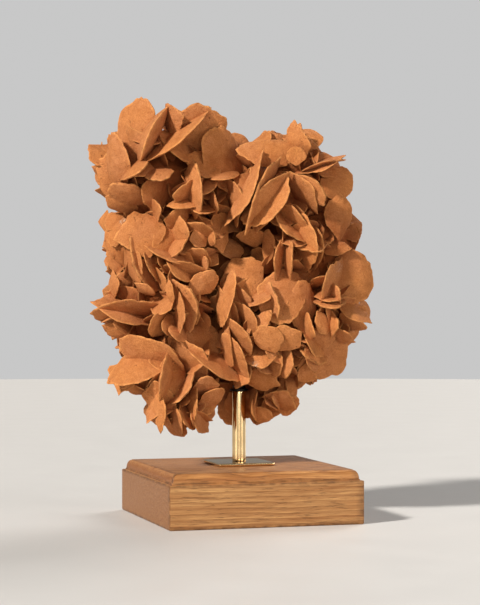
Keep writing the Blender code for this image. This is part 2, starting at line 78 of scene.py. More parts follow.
# Blades of the show side, by rosette. Each row is
#   kind, x, z, out, lean, tilt, a, b, thickness
# x runs to the right, z up from the floor and out towards the viewer, from the rod.
# L places the middle of the blade. E places the middle of its nearest rim.
# tilt is 0 for a blade seen flat and 90 for one seen on its edge. It tips towards lean,
# which is 0 to the right and 90 up. a is half the length across the lean, b half the width.
ROSETTES = {
    "crown_left": [
        ("L", -89, 333, 22, 172, 30, 33, 20, 9), ("L", -104, 309, 32, 190, 55, 26, 18, 8),
        ("E", -75, 328, 60, 155, 89, 29, 22, 15), ("E", -55, 320, 62, 126, 78, 42, 32, 11),
        ("E", -84, 297, 64, 130, 78, 17, 22, 9), ("L", -57, 345, 30, 190, 60, 13, 14, 6),
        ("L", -34, 333, 18, 300, 25, 27, 29, 9), ("L", -13, 310, 22, 15, 38, 31, 21, 9),
        ("L", -30, 306, 34, 60, 35, 16, 13, 5), ("E", -14, 290, 48, 95, 72, 15, 18, 5),
        ("L", -68, 297, 48, 95, 58, 13, 12, 5), ("L", -117, 317, -2, 80, 45, 17, 16, 6),
        ("L", -116, 301, 0, 250, 50, 14, 12, 6), ("L", -112, 296, 8, 200, 30, 20, 14, 6),
        ("L", -71, 282, 38, 340, 35, 14, 14, 6), ("L", -94, 280, 36, 255, 50, 18, 14, 6),
        ("L", -101, 273, 22, 250, 50, 16, 12, 6), ("E", -68, 268, 50, 200, 75, 12, 16, 4),
    ],
    "crown_mid": [
        ("L", -48, 271, 46, 92, 55, 13, 8, 5), ("E", -49, 286, 54, 320, 65, 18, 16, 6),
        ("E", -29, 284, 60, 185, 62, 24, 16, 6), ("E", -18, 275, 50, 190, 72, 12, 14, 4),
        ("E", -32, 263, 52, 80, 70, 13, 14, 4), ("L", -52, 261, 40, 310, 40, 12, 9, 5),
        ("L", -10, 280, 15, 10, 35, 12, 12, 5), ("E", -42, 250, 58, 190, 60, 11, 12, 5),
        ("E", -48, 232, 56, 140, 65, 12, 12, 5), ("E", -30, 255, 52, 250, 60, 13, 12, 5),
        ("E", -19, 244, 50, 190, 60, 8, 10, 4), ("L", -34, 242, 46, 30, 30, 8, 8, 4),
        ("L", -17, 249, 32, 5, 32, 16, 10, 5), ("L", -8, 235, 12, 60, 30, 14, 10, 5),
        ("E", -32, 233, 52, 250, 60, 13, 14, 5), ("E", -26, 221, 52, 185, 70, 9, 12, 4),
        ("L", -30, 204, 46, 300, 25, 14, 10, 6), ("E", -36, 188, 54, 200, 70, 17, 12, 5),
    ],
    "left_upper": [
        ("L", -82, 247, 40, 100, 20, 19, 18, 6), ("L", -60, 240, 38, 20, 30, 14, 15, 6),
        ("L", -109, 258, 10, 130, 35, 10, 9, 6), ("L", -110, 241, 12, 180, 40, 14, 10, 6),
        ("L", -104, 248, 20, 150, 40, 14, 10, 6), ("L", -105, 232, 14, 200, 50, 14, 10, 6),
        ("L", -90, 221, 38, 195, 50, 20, 12, 7), ("E", -79, 217, 52, 23, 65, 20, 18, 6),
        ("E", -62, 224, 60, 69, 78, 25, 18, 5), ("E", -90, 219, 48, 18, 60, 27, 20, 5),
        ("E", -55, 212, 60, 45, 72, 16, 14, 4), ("E", -45, 222, 56, 262, 66, 22, 16, 5),
        ("E", -63, 208, 54, 200, 75, 10, 10, 4), ("L", -108, 226, 8, 190, 45, 15, 9, 6),
        ("L", -105, 202, 12, 190, 50, 12, 9, 6), ("E", -103, 203, 30, 180, 70, 11, 12, 4),
        ("L", -96, 206, 18, 300, 30, 12, 10, 5), ("L", -80, 199, 44, 240, 50, 10, 6, 4),
    ],
    "left_mouth": [
        ("E", -91, 191, 50, 272, 60, 35, 22, 6), ("E", -102, 169, 50, 72, 62, 26, 22, 6),
        ("L", -106, 163, 20, 250, 40, 12, 9, 5), ("E", -75, 173, 58, 332, 60, 13, 14, 5),
        ("E", -61, 179, 58, 126, 65, 11, 12, 5), ("E", -65, 165, 54, 15, 60, 10, 12, 4),
        ("L", -58, 197, 56, 190, 50, 10, 5, 4), ("E", -46, 181, 64, 183, 74, 18, 14, 5),
        ("E", -38, 190, 58, 200, 60, 24, 18, 5), ("E", -57, 158, 54, 40, 60, 10, 10, 4),
    ],
    "left_foot": [
        ("E", -66, 155, 48, 242, 40, 30, 22, 8), ("E", -82, 118, 54, 112, 52, 27, 20, 8),
        ("L", -84, 114, 30, 270, 50, 15, 10, 5), ("E", -67, 124, 66, 352, 78, 23, 18, 10),
        ("E", -61, 96, 56, 185, 58, 15, 13, 6), ("L", -68, 106, 44, 250, 38, 14, 13, 5),
        ("E", -66, 97, 50, 160, 62, 15, 12, 4), ("L", -56, 131, 42, 20, 30, 13, 11, 5),
        ("L", -54, 119, 44, 40, 30, 11, 11, 5), ("E", -46, 111, 58, 139, 78, 21, 18, 6),
        ("E", -26, 129, 60, 57, 70, 29, 20, 6), ("L", -28, 116, 40, 280, 50, 11, 12, 5),
        ("L", -23, 106, 36, 300, 42, 13, 9, 5), ("E", -34, 98, 54, 180, 70, 17, 16, 6),
        ("E", -48, 90, 52, 200, 70, 15, 16, 6), ("E", -49, 87, 50, 25, 70, 13, 14, 4),
        ("E", -40, 88, 48, 15, 72, 15, 16, 6), ("E", -33, 148, 48, 223, 45, 25, 22, 8),
        ("L", -33, 150, 24, 0, 20, 23, 18, 8), ("L", -54, 86, 20, 280, 40, 14, 10, 5),
    ],
    "crown_right": [
        ("L", 29, 331, -10, 90, 30, 10, 8, 5), ("L", 48, 334, 0, 150, 45, 12, 9, 5),
        ("L", 60, 317, 14, 38, 35, 25, 13, 7), ("L", 51, 326, 24, 195, 30, 18, 9, 6),
        ("L", 26, 317, 26, 90, 35, 28, 16, 8), ("L", 8, 311, 14, 250, 45, 12, 8, 5),
        ("L", 4, 297, 8, 200, 40, 12, 9, 5), ("E", 9, 281, 64, 152, 84, 37, 22, 8),
        ("E", 16, 280, 66, 336, 82, 35, 18, 8), ("E", 34, 266, 60, 142, 50, 28, 19, 5),
        ("L", 27, 277, 50, 322, 55, 27, 18, 7), ("L", 49, 313, 40, 90, 20, 8, 8, 2.4),
        ("E", 50, 305, 40, 230, 70, 11, 14, 5), ("E", 72, 301, 50, 106, 78, 23, 22, 6),
        ("E", 70, 304, 48, 106, 84, 21, 14, 4), ("L", 63, 283, 46, 220, 50, 17, 10, 5),
        ("E", 58, 288, 50, 222, 62, 24, 14, 5), ("E", 63, 287, 44, 40, 75, 13, 12, 4),
        ("L", 84, 290, 22, 20, 30, 16, 18, 7), ("L", 86, 263, 24, 0, 25, 19, 14, 8),
        ("E", 53, 267, 50, 225, 70, 14, 16, 5),
    ],
    "right_mid": [
        ("L", 55, 247, 40, 270, 50, 14, 10, 5), ("E", 72, 238, 52, 190, 65, 20, 18, 6),
        ("E", 63, 230, 54, 90, 65, 13, 14, 5), ("E", 41, 247, 60, 46, 76, 24, 20, 5),
        ("E", 54, 262, 54, 226, 60, 22, 18, 5), ("E", 66, 243, 56, 196, 56, 26, 20, 5),
        ("E", 50, 236, 52, 95, 70, 20, 18, 5), ("E", 47, 226, 56, 182, 72, 17, 14, 5),
        ("E", 30, 226, 52, 350, 70, 22, 16, 5), ("L", 25, 236, 32, 180, 45, 14, 7, 4),
        ("L", 12, 244, 22, 270, 40, 13, 9, 5), ("L", 3, 206, 34, 100, 25, 19, 20, 7),
        ("L", 58, 215, 26, 90, 30, 12, 12, 5), ("L", 84, 234, 32, 90, 30, 10, 7, 5),
        ("L", 97, 209, 22, 5, 18, 25, 23, 9), ("L", 103, 178, 20, 300, 35, 9, 8, 5),
        ("E", 71, 204, 56, 340, 70, 25, 20, 8), ("E", 86, 197, 52, 200, 65, 14, 14, 5),
        ("E", 78, 187, 54, 90, 70, 12, 14, 4), ("E", 78, 182, 56, 92, 72, 14, 16, 4),
        ("E", 95, 172, 44, 60, 60, 16, 14, 6), ("L", 97, 171, 36, 240, 50, 13, 8, 5),
        ("E", 92, 163, 46, 245, 65, 8, 10, 3), ("E", 85, 168, 50, 180, 70, 10, 12, 4),
        ("L", 71, 170, 44, 20, 40, 10, 8, 5), ("E", 64, 168, 54, 190, 65, 12, 12, 4),
        ("L", 36, 192, 46, 75, 22, 21, 26, 8), ("L", 55, 184, 42, 0, 25, 22, 12, 6),
    ],
    "centre_right": [
        ("E", -3, 189, 58, 168, 64, 24, 14, 5), ("E", -12, 190, 48, 347, 50, 22, 18, 6),
        ("E", 9, 194, 54, 205, 60, 13, 15, 5), ("E", -3, 184, 50, 200, 65, 16, 14, 5),
        ("E", 12, 176, 60, 210, 70, 21, 14, 6), ("E", 6, 162, 62, 213, 69, 21, 15, 6),
        ("E", 4, 146, 60, 208, 66, 23, 16, 6), ("E", -5, 152, 54, 185, 75, 20, 14, 5),
        ("E", 20, 132, 56, 100, 50, 14, 14, 5), ("E", 20, 187, 60, 117, 70, 11, 12, 5),
        ("E", 35, 187, 60, 190, 60, 17, 16, 5), ("L", 21, 172, 58, 150, 40, 9, 7, 4),
        ("L", 25, 157, 58, 260, 20, 13, 11, 6), ("L", 40, 157, 54, 270, 22, 14, 11, 6),
        ("E", 47, 136, 50, 175, 55, 13, 12, 5), ("E", 56, 139, 48, 10, 55, 12, 12, 5),
        ("E", 37, 138, 48, 190, 60, 13, 12, 5), ("L", 18, 122, 30, 250, 35, 15, 12, 6),
        ("E", 10, 124, 46, 160, 65, 13, 14, 5), ("E", 24, 142, 52, 40, 55, 13, 12, 5),
    ],
    "right_foot": [
        ("L", 77, 142, 22, 330, 20, 22, 17, 9), ("L", 62, 128, 24, 300, 30, 13, 10, 6),
        ("L", 72, 158, 38, 300, 30, 12, 10, 5), ("E", 58, 149, 54, 36, 70, 14, 18, 5),
        ("E", 58, 138, 52, 55, 65, 16, 18, 5),
    ],
    "back_foot": [
        ("E", 12, 98, 20, 2, 80, 15, 14, 5), ("E", 16, 103, 22, 170, 75, 10, 12, 4),
        ("E", 24, 101, 24, 31, 75, 9, 12, 4), ("L", 20, 90, 10, 250, 30, 10, 8, 5),
        ("E", 30, 104, 26, 0, 75, 9, 12, 5), ("L", 36, 101, 12, 275, 55, 12, 14, 5),
        ("E", 39, 110, 30, 250, 60, 15, 14, 5), ("L", 43, 114, 6, 20, 25, 12, 9, 6),
        ("L", -6, 96, -20, 0, 20, 18, 14, 6), ("L", 8, 100, -22, 340, 30, 16, 12, 6),
    ],
}

# Rosettes of the back, the sides and the underside, grown by rule. Each row is
#   x, z, out, heading, rise, radius, count
# heading is where it faces: 0 to the viewer, 90 to the right, 180 to the back. rise is up.
GROWN = [
    (-72, 298, -42, 190, 15, 38, 5), (-20, 305, -46, 180, 35, 34, 4), (50, 300, -42, 170, 20, 38, 5),
    (-88, 228, -40, 215, 0, 36, 4), (-18, 232, -52, 180, 0, 40, 5), (66, 228, -46, 160, 0, 38, 5),
    (-72, 160, -42, 200, -10, 38, 5), (5, 158, -54, 180, -5, 40, 5), (66, 168, -34, 145, -20, 34, 4),
    (-55, 108, -32, 195, -35, 32, 4), (10, 108, -40, 175, -45, 30, 4), (-104, 285, 0, 262, 5, 24, 3),
    (-104, 215, -4, 265, 0, 24, 3), (-98, 150, -2, 262, -15, 24, 3), (96, 255, -4, 92, 10, 24, 3),
    (92, 180, -2, 95, -20, 22, 3), (-45, 330, -8, 180, 80, 24, 3), (25, 322, -12, 180, 75, 24, 3),
]

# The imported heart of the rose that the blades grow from: x, z, out, then half sizes along x, z, out
HEART = [
    (-70, 292, -2, 40, 38, 44), (-76, 232, -6, 32, 42, 42), (-78, 182, -2, 30, 38, 38),
    (-60, 128, 0, 34, 36, 38), (-25, 292, -14, 42, 38, 42), (-20, 225, -34, 40, 54, 36),
    (46, 290, -4, 42, 34, 42), (62, 234, -4, 44, 46, 42), (46, 182, 0, 42, 38, 40),
    (28, 146, 2, 26, 28, 34), (-20, 165, -38, 48, 44, 30), (2, 122, -32, 40, 28, 28),
    (14, 102, -14, 22, 16, 18), (-44, 104, 16, 22, 18, 18), (-40, 188, 18, 16, 26, 22),
    (2, 200, 6, 16, 24, 24), (-38, 282, 16, 18, 20, 24), (20, 219, -20, 20, 18, 22),
    (48, 131, -6, 20, 16, 18), (-2, 254, -34, 26, 26, 20), (16, 250, -20, 18, 24, 22),
    (-6, 214, -30, 22, 22, 24),
]

# Places where the stone is bleached or crusted: x, z, out, radius
PALE_SPOTS = [(97, 217, 44, 16), (15, 133, 52, 5), (46, 148, 58, 5), (-116, 326, 12, 9), (-104, 261, 22, 7)]

# Where the random numbers of each piece's first blade start; the next blade takes the next number
SEEDS = {
    "rose_show_left": 1000,
    "rose_show_right": 3000,
    "rose_back_left": 5000,
    "rose_back_right": 7000,
    "rose_hollows": 9000,
    "rose_crossings_left": 11000,
    "rose_crossings_right": 13000,
}


# ---------------------------------------------------------------- meshes


def grid_faces(rows, columns, start=0):
    """Quads of a grid whose columns close into a ring: each joins a point to the next row and column."""
    index = np.arange(rows * columns).reshape(rows, columns) + start
    after = np.roll(index, -1, axis=1)
    return np.stack([index[:-1], index[1:], after[1:], after[:-1]], axis=-1).reshape(-1, 4)


def fan_faces(ring, pole):
    """Triangles from a ring of points to one pole. Reverse the ring to turn them over."""
    return np.stack([ring, np.roll(ring, -1), np.full(len(ring), pole)], axis=-1)


def mesh_piece(name, points, quads, triangles, material, values=None):
    """A smooth mesh object from points in millimetres, with one value per point for each named attribute."""
    mesh = bpy.data.meshes.new(name)
    corners = np.concatenate([quads.ravel(), triangles.ravel()]).astype(np.int32)
    totals = np.concatenate([np.full(len(quads), 4), np.full(len(triangles), 3)]).astype(np.int32)
    starts = (np.cumsum(totals) - totals).astype(np.int32)
    mesh.vertices.add(len(points))
    mesh.vertices.foreach_set("co", (points * MM).astype(np.float32).ravel())
    mesh.loops.add(len(corners))
    mesh.loops.foreach_set("vertex_index", corners)
    mesh.polygons.add(len(totals))
    mesh.polygons.foreach_set("loop_start", starts)
    mesh.polygons.foreach_set("loop_total", totals)
    for label, value in (values or {}).items():
        layer = mesh.attributes.new(label, "FLOAT", "POINT")
        layer.data.foreach_set("value", value.astype(np.float32))
    mesh.update(calc_edges=True)
    mesh.shade_smooth()
    mesh.materials.append(material)
    piece = bpy.data.objects.new(name, mesh)
    bpy.context.scene.collection.objects.link(piece)
    return piece


def outward(points, quads, triangles):
    """The skin, turned over if it encloses a negative volume, by the sign of the sum over its
    triangles of corner . (corner x corner)."""
    halves = np.concatenate([quads[:, [0, 1, 2]], quads[:, [0, 2, 3]], triangles])
    a, b, c = (points[halves[:, i]] - points[0] for i in range(3))
    if (a * np.cross(b, c)).sum() < 0:
        return points, quads[:, ::-1], triangles[:, ::-1]
    return points, quads, triangles


def capped_grid(grid):
    """Points and faces of a closed skin: a grid of rings from a first pole to a last one, row by row."""
    rows, columns = grid.shape[:2]
    poles = np.array([grid[0].mean(axis=0), grid[-1].mean(axis=0)])
    points = np.vstack([grid.reshape(-1, 3), poles])
    first = np.arange(columns)
    last = first + (rows - 1) * columns
    fans = [fan_faces(first, rows * columns), fan_faces(last[::-1], rows * columns + 1)]
    return outward(points, grid_faces(rows, columns), np.vstack(fans))


def round_grid(radius, turns, levels):
    """A grid of rings round the z axis. radius and levels hold one value for each ring, or for each point."""
    x, y = radius * np.cos(turns), radius * np.sin(turns)
    return np.stack([x, y, np.broadcast_to(levels, x.shape)], axis=-1)


def ring_grid(grid):
    """Points and faces of a ring-shaped skin: the last row of the grid joins its first."""
    rows, columns = grid.shape[:2]
    quads = grid_faces(rows + 1, columns) % (rows * columns)
    return outward(grid.reshape(-1, 3), quads, np.empty((0, 3), int))


def node_box(name):
    """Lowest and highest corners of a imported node, in millimetres."""
    low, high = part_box(name)
    return np.array(low) / MM, np.array(high) / MM


def seat(piece, node):
    """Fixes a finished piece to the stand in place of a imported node."""
    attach(piece, "root")
    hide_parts(node)


# ---------------------------------------------------------------- the rose

EDGE_DEPTH = 0.35  # how much deeper a blade on edge runs than its row says
FRONT = 30.0  # mm; a blade placed by its middle further out than this is broadened and sunk
BROADER = 1.06
THINNER = 0.9  # a blade placed by its middle, against its row
SUNK = 3.0  # mm
CROSSING_DEPTH = 16.0  # mm behind the blade that it crosses
SHOW_SPLIT = -8.0  # mm; x at which the show side is split into its two pieces
BACK_SPLIT = -20.0
HEART_SHARE = 0.8  # size of the heart's lumps against their rows
HOLLOW_BLADES = 16  # small blades on each lump
SHADED = 1.3  # half sizes of a lump; nearer to its centre than this the stone gets painted shade
SHADED_SPAN = 0.55  # half sizes over which it does
SHADED_TO = 30.0  # mm behind the rod, where the painted shade ends
SHADED_FADE = 25.0  # mm over which it fades out
LEAFY = 0.75  # a blade that faces the viewer less than this has pointed ends
LARGE = 22.0  # mm; a blade with a larger half size has more sides
GROOVE = 1.6  # mm cut into the rim of a grooved blade
FAINT_GROOVE = 0.15
ROD_ROOM = 12.0  # mm each side of the rod, kept clear below CLEAR_HEIGHT
CLEAR_HEIGHT = 134.0
RINGS = np.array([0.2, 0.4, 0.56, 0.7, 0.81, 0.9, 0.96, 0.99])
SMALL_RINGS = np.array([0.3, 0.64, 0.86, 0.96, 0.99])  # for the many small blades
SMALL_CELL = 1.6  # spacing of the points round a small blade, against a large one's


def axes_of(lean, tilt):
    """The normal, the long axis and the axis that runs away from the viewer, from two angles in radians."""
    normal = np.array([math.sin(tilt) * math.cos(lean), -math.cos(tilt), math.sin(tilt) * math.sin(lean)])
    across = np.array([-math.sin(lean), 0.0, math.cos(lean)])
    away = np.array([math.cos(tilt) * math.cos(lean), math.sin(tilt), math.cos(tilt) * math.sin(lean)])
    return normal, across, away


def show_blades():
    """Centre, axes and half sizes of each blade of the show side. A blade placed by its rim runs
    deep into the rose, and one placed by its middle is sunk a little and broadened."""
    for rows in ROSETTES.values():
        for kind, x, z, out, lean, tilt, a, b, thickness in rows:
            normal, across, away = axes_of(math.radians(lean), math.radians(tilt))
            if kind == "E":
                b = b * (1.0 + EDGE_DEPTH * min(max((tilt - 40) / 30, 0.0), 1.0))
                yield np.array([x, -out, z]) + b * away, normal, across, away, a * BROADER, b, thickness
                continue
            sunk, broader = (0.0, 1.0) if out < FRONT else (SUNK, BROADER)
            centre = np.array([x, sunk - out, z])
            yield centre, normal, across, away, a * broader, b * broader, thickness * THINNER


def crossing_blades():
    """Smaller blades that cross the show side's at an angle, set deeper, so that each pair makes a groove."""
    k = 0
    for rows in ROSETTES.values():
        for _, x, z, out, lean, _, a, b, _ in rows:
            for side in (-1.0, 1.0):
                k += 1
                turn = math.radians(lean + side * (62 + 24 * math.sin(1.9 * k)))
                normal, across, away = axes_of(turn, math.radians(62 + 16 * math.sin(2.7 * k)))
                size = 6.0 + 0.36 * min(a, 1.6 * b)
                shift = np.array([math.cos(turn), 0.0, math.sin(turn)]) * side * 0.35 * size
                rim = np.array([x, CROSSING_DEPTH - out + 3 * math.sin(3.3 * k), z]) + shift
                centre = rim + 1.1 * size * away
                if abs(centre[0]) < ROD_ROOM + size and centre[2] < CLEAR_HEIGHT:
                    continue
                yield centre, normal, across, away, size, 1.1 * size, 0.2 * size


def grown_blades(share):
    """Blades set by the golden angle round each rosette: on edge in its middle, leaning out at its rim."""
    for x, z, out, heading, rise, radius, count in GROWN:
        count = round(count * share)
        h, r = math.radians(heading), math.radians(rise)
        facing = np.array([math.sin(h) * math.cos(r), -math.cos(h) * math.cos(r), math.sin(r)])
        side = np.cross(facing, [0.0, 0.0, 1.0] if abs(rise) < 60 else [0.0, 1.0, 0.0])
        side /= np.linalg.norm(side)
        up = np.cross(side, facing)
        for k in range(count):
            turn = math.radians(GOLDEN_ANGLE * k + x + z)
            spread = math.sqrt((k + 0.5) / count)
            spoke = side * math.cos(turn) + up * math.sin(turn)
            twist = math.radians(70 * math.sin(2.4 * k + z))
            tangent = np.cross(facing, spoke)
            flat = spoke * math.cos(twist) + tangent * math.sin(twist)
            lean = math.radians(80 - 42 * spread)
            normal = facing * math.cos(lean) + flat * math.sin(lean)
            across = np.cross(facing, flat)
            away = np.cross(normal, across)
            centre = np.array([x, -out, z]) + spoke * radius * 0.72 * spread
            centre = centre - facing * radius * 0.35 * spread**2
            size = radius * (0.52 + 0.16 * math.sin(3.1 * k + x))
            yield centre, normal, across, away, size, size * 0.86, 0.2 * size


def heart_blades():
    """Small blades spread by the golden angle over each lump of the heart, half sunk and mostly on edge."""
    for lump, (x, z, out, half_x, half_z, half_out) in enumerate(HEART):
        for k in range(HOLLOW_BLADES):
            height = 1.0 - (2.0 * k + 1.0) / HOLLOW_BLADES
            turn = math.radians(GOLDEN_ANGLE * k + 40.0 * lump)
            radius = math.sqrt(1.0 - height * height)
            spoke = np.array([radius * math.cos(turn), radius * math.sin(turn), height])
            centre = np.array([x, -out, z]) + HEART_SHARE * spoke * [half_x, half_out, half_z]
            side = np.cross(spoke, [0.3, 0.2, 0.93])
            side /= np.linalg.norm(side)
            up = np.cross(side, spoke)
            spin = 2.1 * k + lump
            flat = side * math.cos(spin) + up * math.sin(spin)
            lean = math.radians(66 + 18 * math.sin(1.7 * k + lump))
            normal = spoke * math.cos(lean) + flat * math.sin(lean)
            across = np.cross(spoke, flat)
            size = 11.0 + 3.0 * math.sin(4.3 * k + 2.0 * lump)
            if abs(centre[0]) < ROD_ROOM + size and centre[1] < 10 and centre[2] < CLEAR_HEIGHT:
                continue
            yield centre, normal, across, np.cross(normal, across), size, size * 0.85, 4.0


def outline(turns, draw, large):
    """Reach of a rounded polygon at each turn, plain and chipped.

    A side at distance d facing turn s gives cos(turn - s) / d. The reach is the power mean of the
    sides, turned over. The chipped one adds short waves and a few notches shaped like bells.
    """
    sides = draw.integers(7, 10) if large else draw.integers(5, 8)
    facing = (np.arange(sides) + draw.uniform(-0.3, 0.3, sides)) * 2 * math.pi / sides + draw.uniform(0, 6.28)
    distance = draw.uniform(0.9, 1.02, sides)
    toward = np.clip(np.cos(turns[:, None] - facing), 0.0, None) / distance
    plain = (toward**11).sum(axis=1) ** (-1 / 11)
    order = np.arange(7, 25)
    height = draw.uniform(0.0, 0.012, len(order)) * np.sqrt(10 / order)
    waves = (height * np.sin(turns[:, None] * order + draw.uniform(0, 6.28, len(order)))).sum(axis=1)
    notches = draw.integers(1, 5)
    gap = np.angle(np.exp(1j * (turns[:, None] - draw.uniform(0, 6.28, notches))))
    depth = draw.uniform(0.02, 0.07, notches)
    chips = (depth * np.exp(-((gap / draw.uniform(0.05, 0.14, notches)) ** 2))).sum(axis=1)
    return plain, plain * (1.0 + waves - chips)


def relief(x, y, draw):
    """Low swells of a blade's face: eight sine waves, 5 to 20 mm long, each in its own direction."""
    lengths = draw.uniform(5.0, 20.0, 8)
    heading = draw.uniform(0, 2 * math.pi, 8)
    phase = draw.uniform(0, 2 * math.pi, 8)
    along = x[..., None] * np.cos(heading) + y[..., None] * np.sin(heading)
    return (np.sin(2 * math.pi * along / lengths + phase) * lengths * 0.006).sum(axis=-1)


def blade_grid(blade, draw, settings, small):
    """One blade as a grid of rings from the middle of one face, over the rim, to the middle of the other.

    Along the long way a point lies at cos(turn), along the short way at a power of sin(turn), which
    draws the ends of a leafy blade to a point. Half its thickness at ring r is
    rim / 2 * sqrt(1 - r^p) + (middle - rim) / 2 * (1 - r^2), and the two domes share it unevenly. The
    whole blade bends a little: its middle plane rises with the square of x and falls with that of y.
    """
    centre, normal, across, away, a, b, middle = blade
    leafy = abs(normal[1]) < LEAFY
    rings, coarser = (SMALL_RINGS, SMALL_CELL) if small else (RINGS, 1.0)
    cell = settings.cell / MM * coarser
    around = int(np.clip(2 * math.pi * max(a, b) / cell, 14, 80))
    turns = np.linspace(0, 2 * math.pi, around, endpoint=False)
    plain, chipped = outline(turns, draw, max(a, b) > LARGE)
    rim = settings.rim / MM * draw.uniform(0.75, 1.3)
    grooved = draw.uniform() < 0.4
    power = 60 if grooved else 14
    r = rings[:, None]
    shape = rim / 2 * np.sqrt(1 - r**power) + (middle - rim) / 2 * (1 - r**2)
    reach = r * (plain + (chipped - plain) * r**5)
    split = 0.5 + 0.5 * np.sin(turns * 5 + draw.uniform(0, 6.28)) * np.sin(turns * 3 + draw.uniform(0, 6.28))
    groove = (GROOVE if grooved else FAINT_GROOVE) * split / max(a, b)
    share = draw.uniform(0.75, 1.25)
    pointed = draw.uniform(1.25, 1.85) if leafy else draw.uniform(1.0, 1.25)
    long_way = np.cos(turns)
    short_way = np.sign(np.sin(turns)) * np.abs(np.sin(turns)) ** pointed
    bend, warp = draw.uniform(-0.055, 0.055, 2) * (a + b)
    rows = []
    for side, dome in ((1.0, share), (-1.0, 2.0 - share)):
        x = a * reach * long_way
        y = b * reach * short_way
        lift = side * (shape * np.where(r > 0.97, 1.0, dome) + relief(x, y, draw) * (1 - r**12))
        rows.append(np.stack([x, y, lift * np.ones_like(x)], axis=-1))
    edge_x = a * (chipped - groove) * long_way
    edge_y = b * (chipped - groove) * short_way
    edge = np.stack([edge_x, edge_y, np.zeros(around)], axis=-1)[None]
    local = np.concatenate([rows[0], edge, rows[1][::-1]])
    x, y, lift = local[..., 0], local[..., 1], local[..., 2]
    lift = lift + bend * ((x / a) ** 2 - (y / b) ** 2) + warp * x * y / (a * b)
    return centre + x[..., None] * across + y[..., None] * away + lift[..., None] * normal


def turn_about_rod(points, settings):
    """Points of the rose's own frame, turned about the rod."""
    turn = settings.turn
    cos, sin = math.cos(turn), math.sin(turn)
    return points @ np.array([[cos, sin, 0], [-sin, cos, 0], [0, 0, 1]])


def painted_shade_depth(points):
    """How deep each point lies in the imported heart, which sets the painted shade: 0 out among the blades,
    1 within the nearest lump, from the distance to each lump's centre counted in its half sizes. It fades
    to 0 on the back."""
    nearest = np.full(len(points), 9.0)
    for x, z, out, half_x, half_z, half_out in HEART:
        share = (points - [x, -out, z]) / [half_x, half_out, half_z]
        nearest = np.minimum(nearest, np.sqrt((share**2).sum(axis=1)))
    front = np.clip((SHADED_TO - points[:, 1]) / SHADED_FADE, 0.0, 1.0)
    return np.clip((SHADED - nearest) / SHADED_SPAN, 0.0, 1.0) * front


def blade_skins(blades, seed, settings, small):
    """Each blade's points and faces, how near the rim each point lies, and a number for the blade."""
    rings = SMALL_RINGS if small else RINGS
    ring = np.concatenate([rings, [1.0], rings[::-1]])
    for k, blade in enumerate(blades):
        draw = np.random.default_rng(seed + k)
        grid = blade_grid(blade, draw, settings, small)
        rim = np.concatenate([np.repeat(ring, grid.shape[1]), [0.0, 0.0]])
        yield *capped_grid(grid), rim, draw.uniform()


def lump_skins():
    """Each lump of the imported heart: an ellipsoid whose radius swells with waves of the latitude and
    the longitude."""
    latitude = np.linspace(-1.45, 1.45, 24)[:, None]
    longitude = np.linspace(0, 2 * math.pi, 36, endpoint=False)
    ball = round_grid(np.cos(latitude), longitude, np.sin(latitude))
    for lump, (x, z, out, half_x, half_z, half_out) in enumerate(HEART):
        swell = 1 + 0.05 * np.sin(7 * latitude + lump) * np.sin(5 * longitude + 2 * lump) * np.cos(latitude)
        half = HEART_SHARE * np.array([half_x, half_out, half_z])
        yield *capped_grid(np.array([x, -out, z]) + ball * swell[..., None] * half), 0.0, 0.0


def stone_piece(name, skins, settings):
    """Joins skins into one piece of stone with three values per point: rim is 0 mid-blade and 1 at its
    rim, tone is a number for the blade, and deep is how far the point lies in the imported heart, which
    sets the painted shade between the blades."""
    parts = {"points": [], "quads": [], "triangles": [], "rim": [], "tone": []}
    start = 0
    for points, quads, triangles, rim, tone in skins:
        parts["points"].append(points)
        parts["quads"].append(quads + start)
        parts["triangles"].append(triangles + start)
        parts["rim"].append(np.broadcast_to(rim, len(points)))
        parts["tone"].append(np.broadcast_to(tone, len(points)))
        start += len(points)
    joined = {label: np.concatenate(arrays) for label, arrays in parts.items()}
    values = {"rim": joined["rim"], "tone": joined["tone"], "deep": painted_shade_depth(joined["points"])}
    points = turn_about_rod(joined["points"], settings)
    piece = mesh_piece(name, points, joined["quads"], joined["triangles"], finish("gypsum"), values)
    seat(piece, "sand_rose")


def blade_piece(name, blades, settings, small=False):
    stone_piece(name, blade_skins(blades, SEEDS[name], settings, small), settings)


def split_pieces(name, blades, at, settings):
    """Two pieces of blades, those to the left of x = at and the others."""
    blade_piece(f"{name}_left", [blade for blade in blades if blade[0][0] < at], settings)
    blade_piece(f"{name}_right", [blade for blade in blades if blade[0][0] >= at], settings)


# ---------------------------------------------------------------- the stand

# In mm, but for the last
LEDGE_DEPTH = 9.1  # of the plinth's ledge below its top
PLINTH_BORE = 4.8  # radius
PLATE_CORNER = 0.6
TUBE_BORE = 3.4
TUBE_EDGE = 0.4
ROD_BORE = 3.3  # of the washer and the nut
WASHER_EDGE = 0.35
ROD_END = 0.8  # length over which it narrows
THREAD_DEPTH = 0.61  # of the pitch


def square_path(corner, steps=6, per_side=24):
    """A unit square with rounded corners, as points and a value that is 1 on the corners.

    Each side runs straight between its corner arcs, a quarter circle of radius corner.
    """
    along = np.linspace(-1 + corner, 1 - corner, per_side + 1)[:-1]
    arc = np.linspace(0, math.pi / 2, steps + 1)[:-1]
    side = np.stack([along, -np.ones(per_side)], axis=-1)
    bend = np.stack([1 - corner + corner * np.sin(arc), -1 + corner - corner * np.cos(arc)], axis=-1)
    quarter = np.vstack([side, bend])
    quarters = np.arange(4) * math.pi / 2
    turns = [np.array([[math.cos(t), math.sin(t)], [-math.sin(t), math.cos(t)]]) for t in quarters]
    points = np.vstack([quarter @ turn for turn in turns])
    mark = np.tile(np.concatenate([np.zeros(per_side), np.ones(steps)]), 4)
    return points, mark


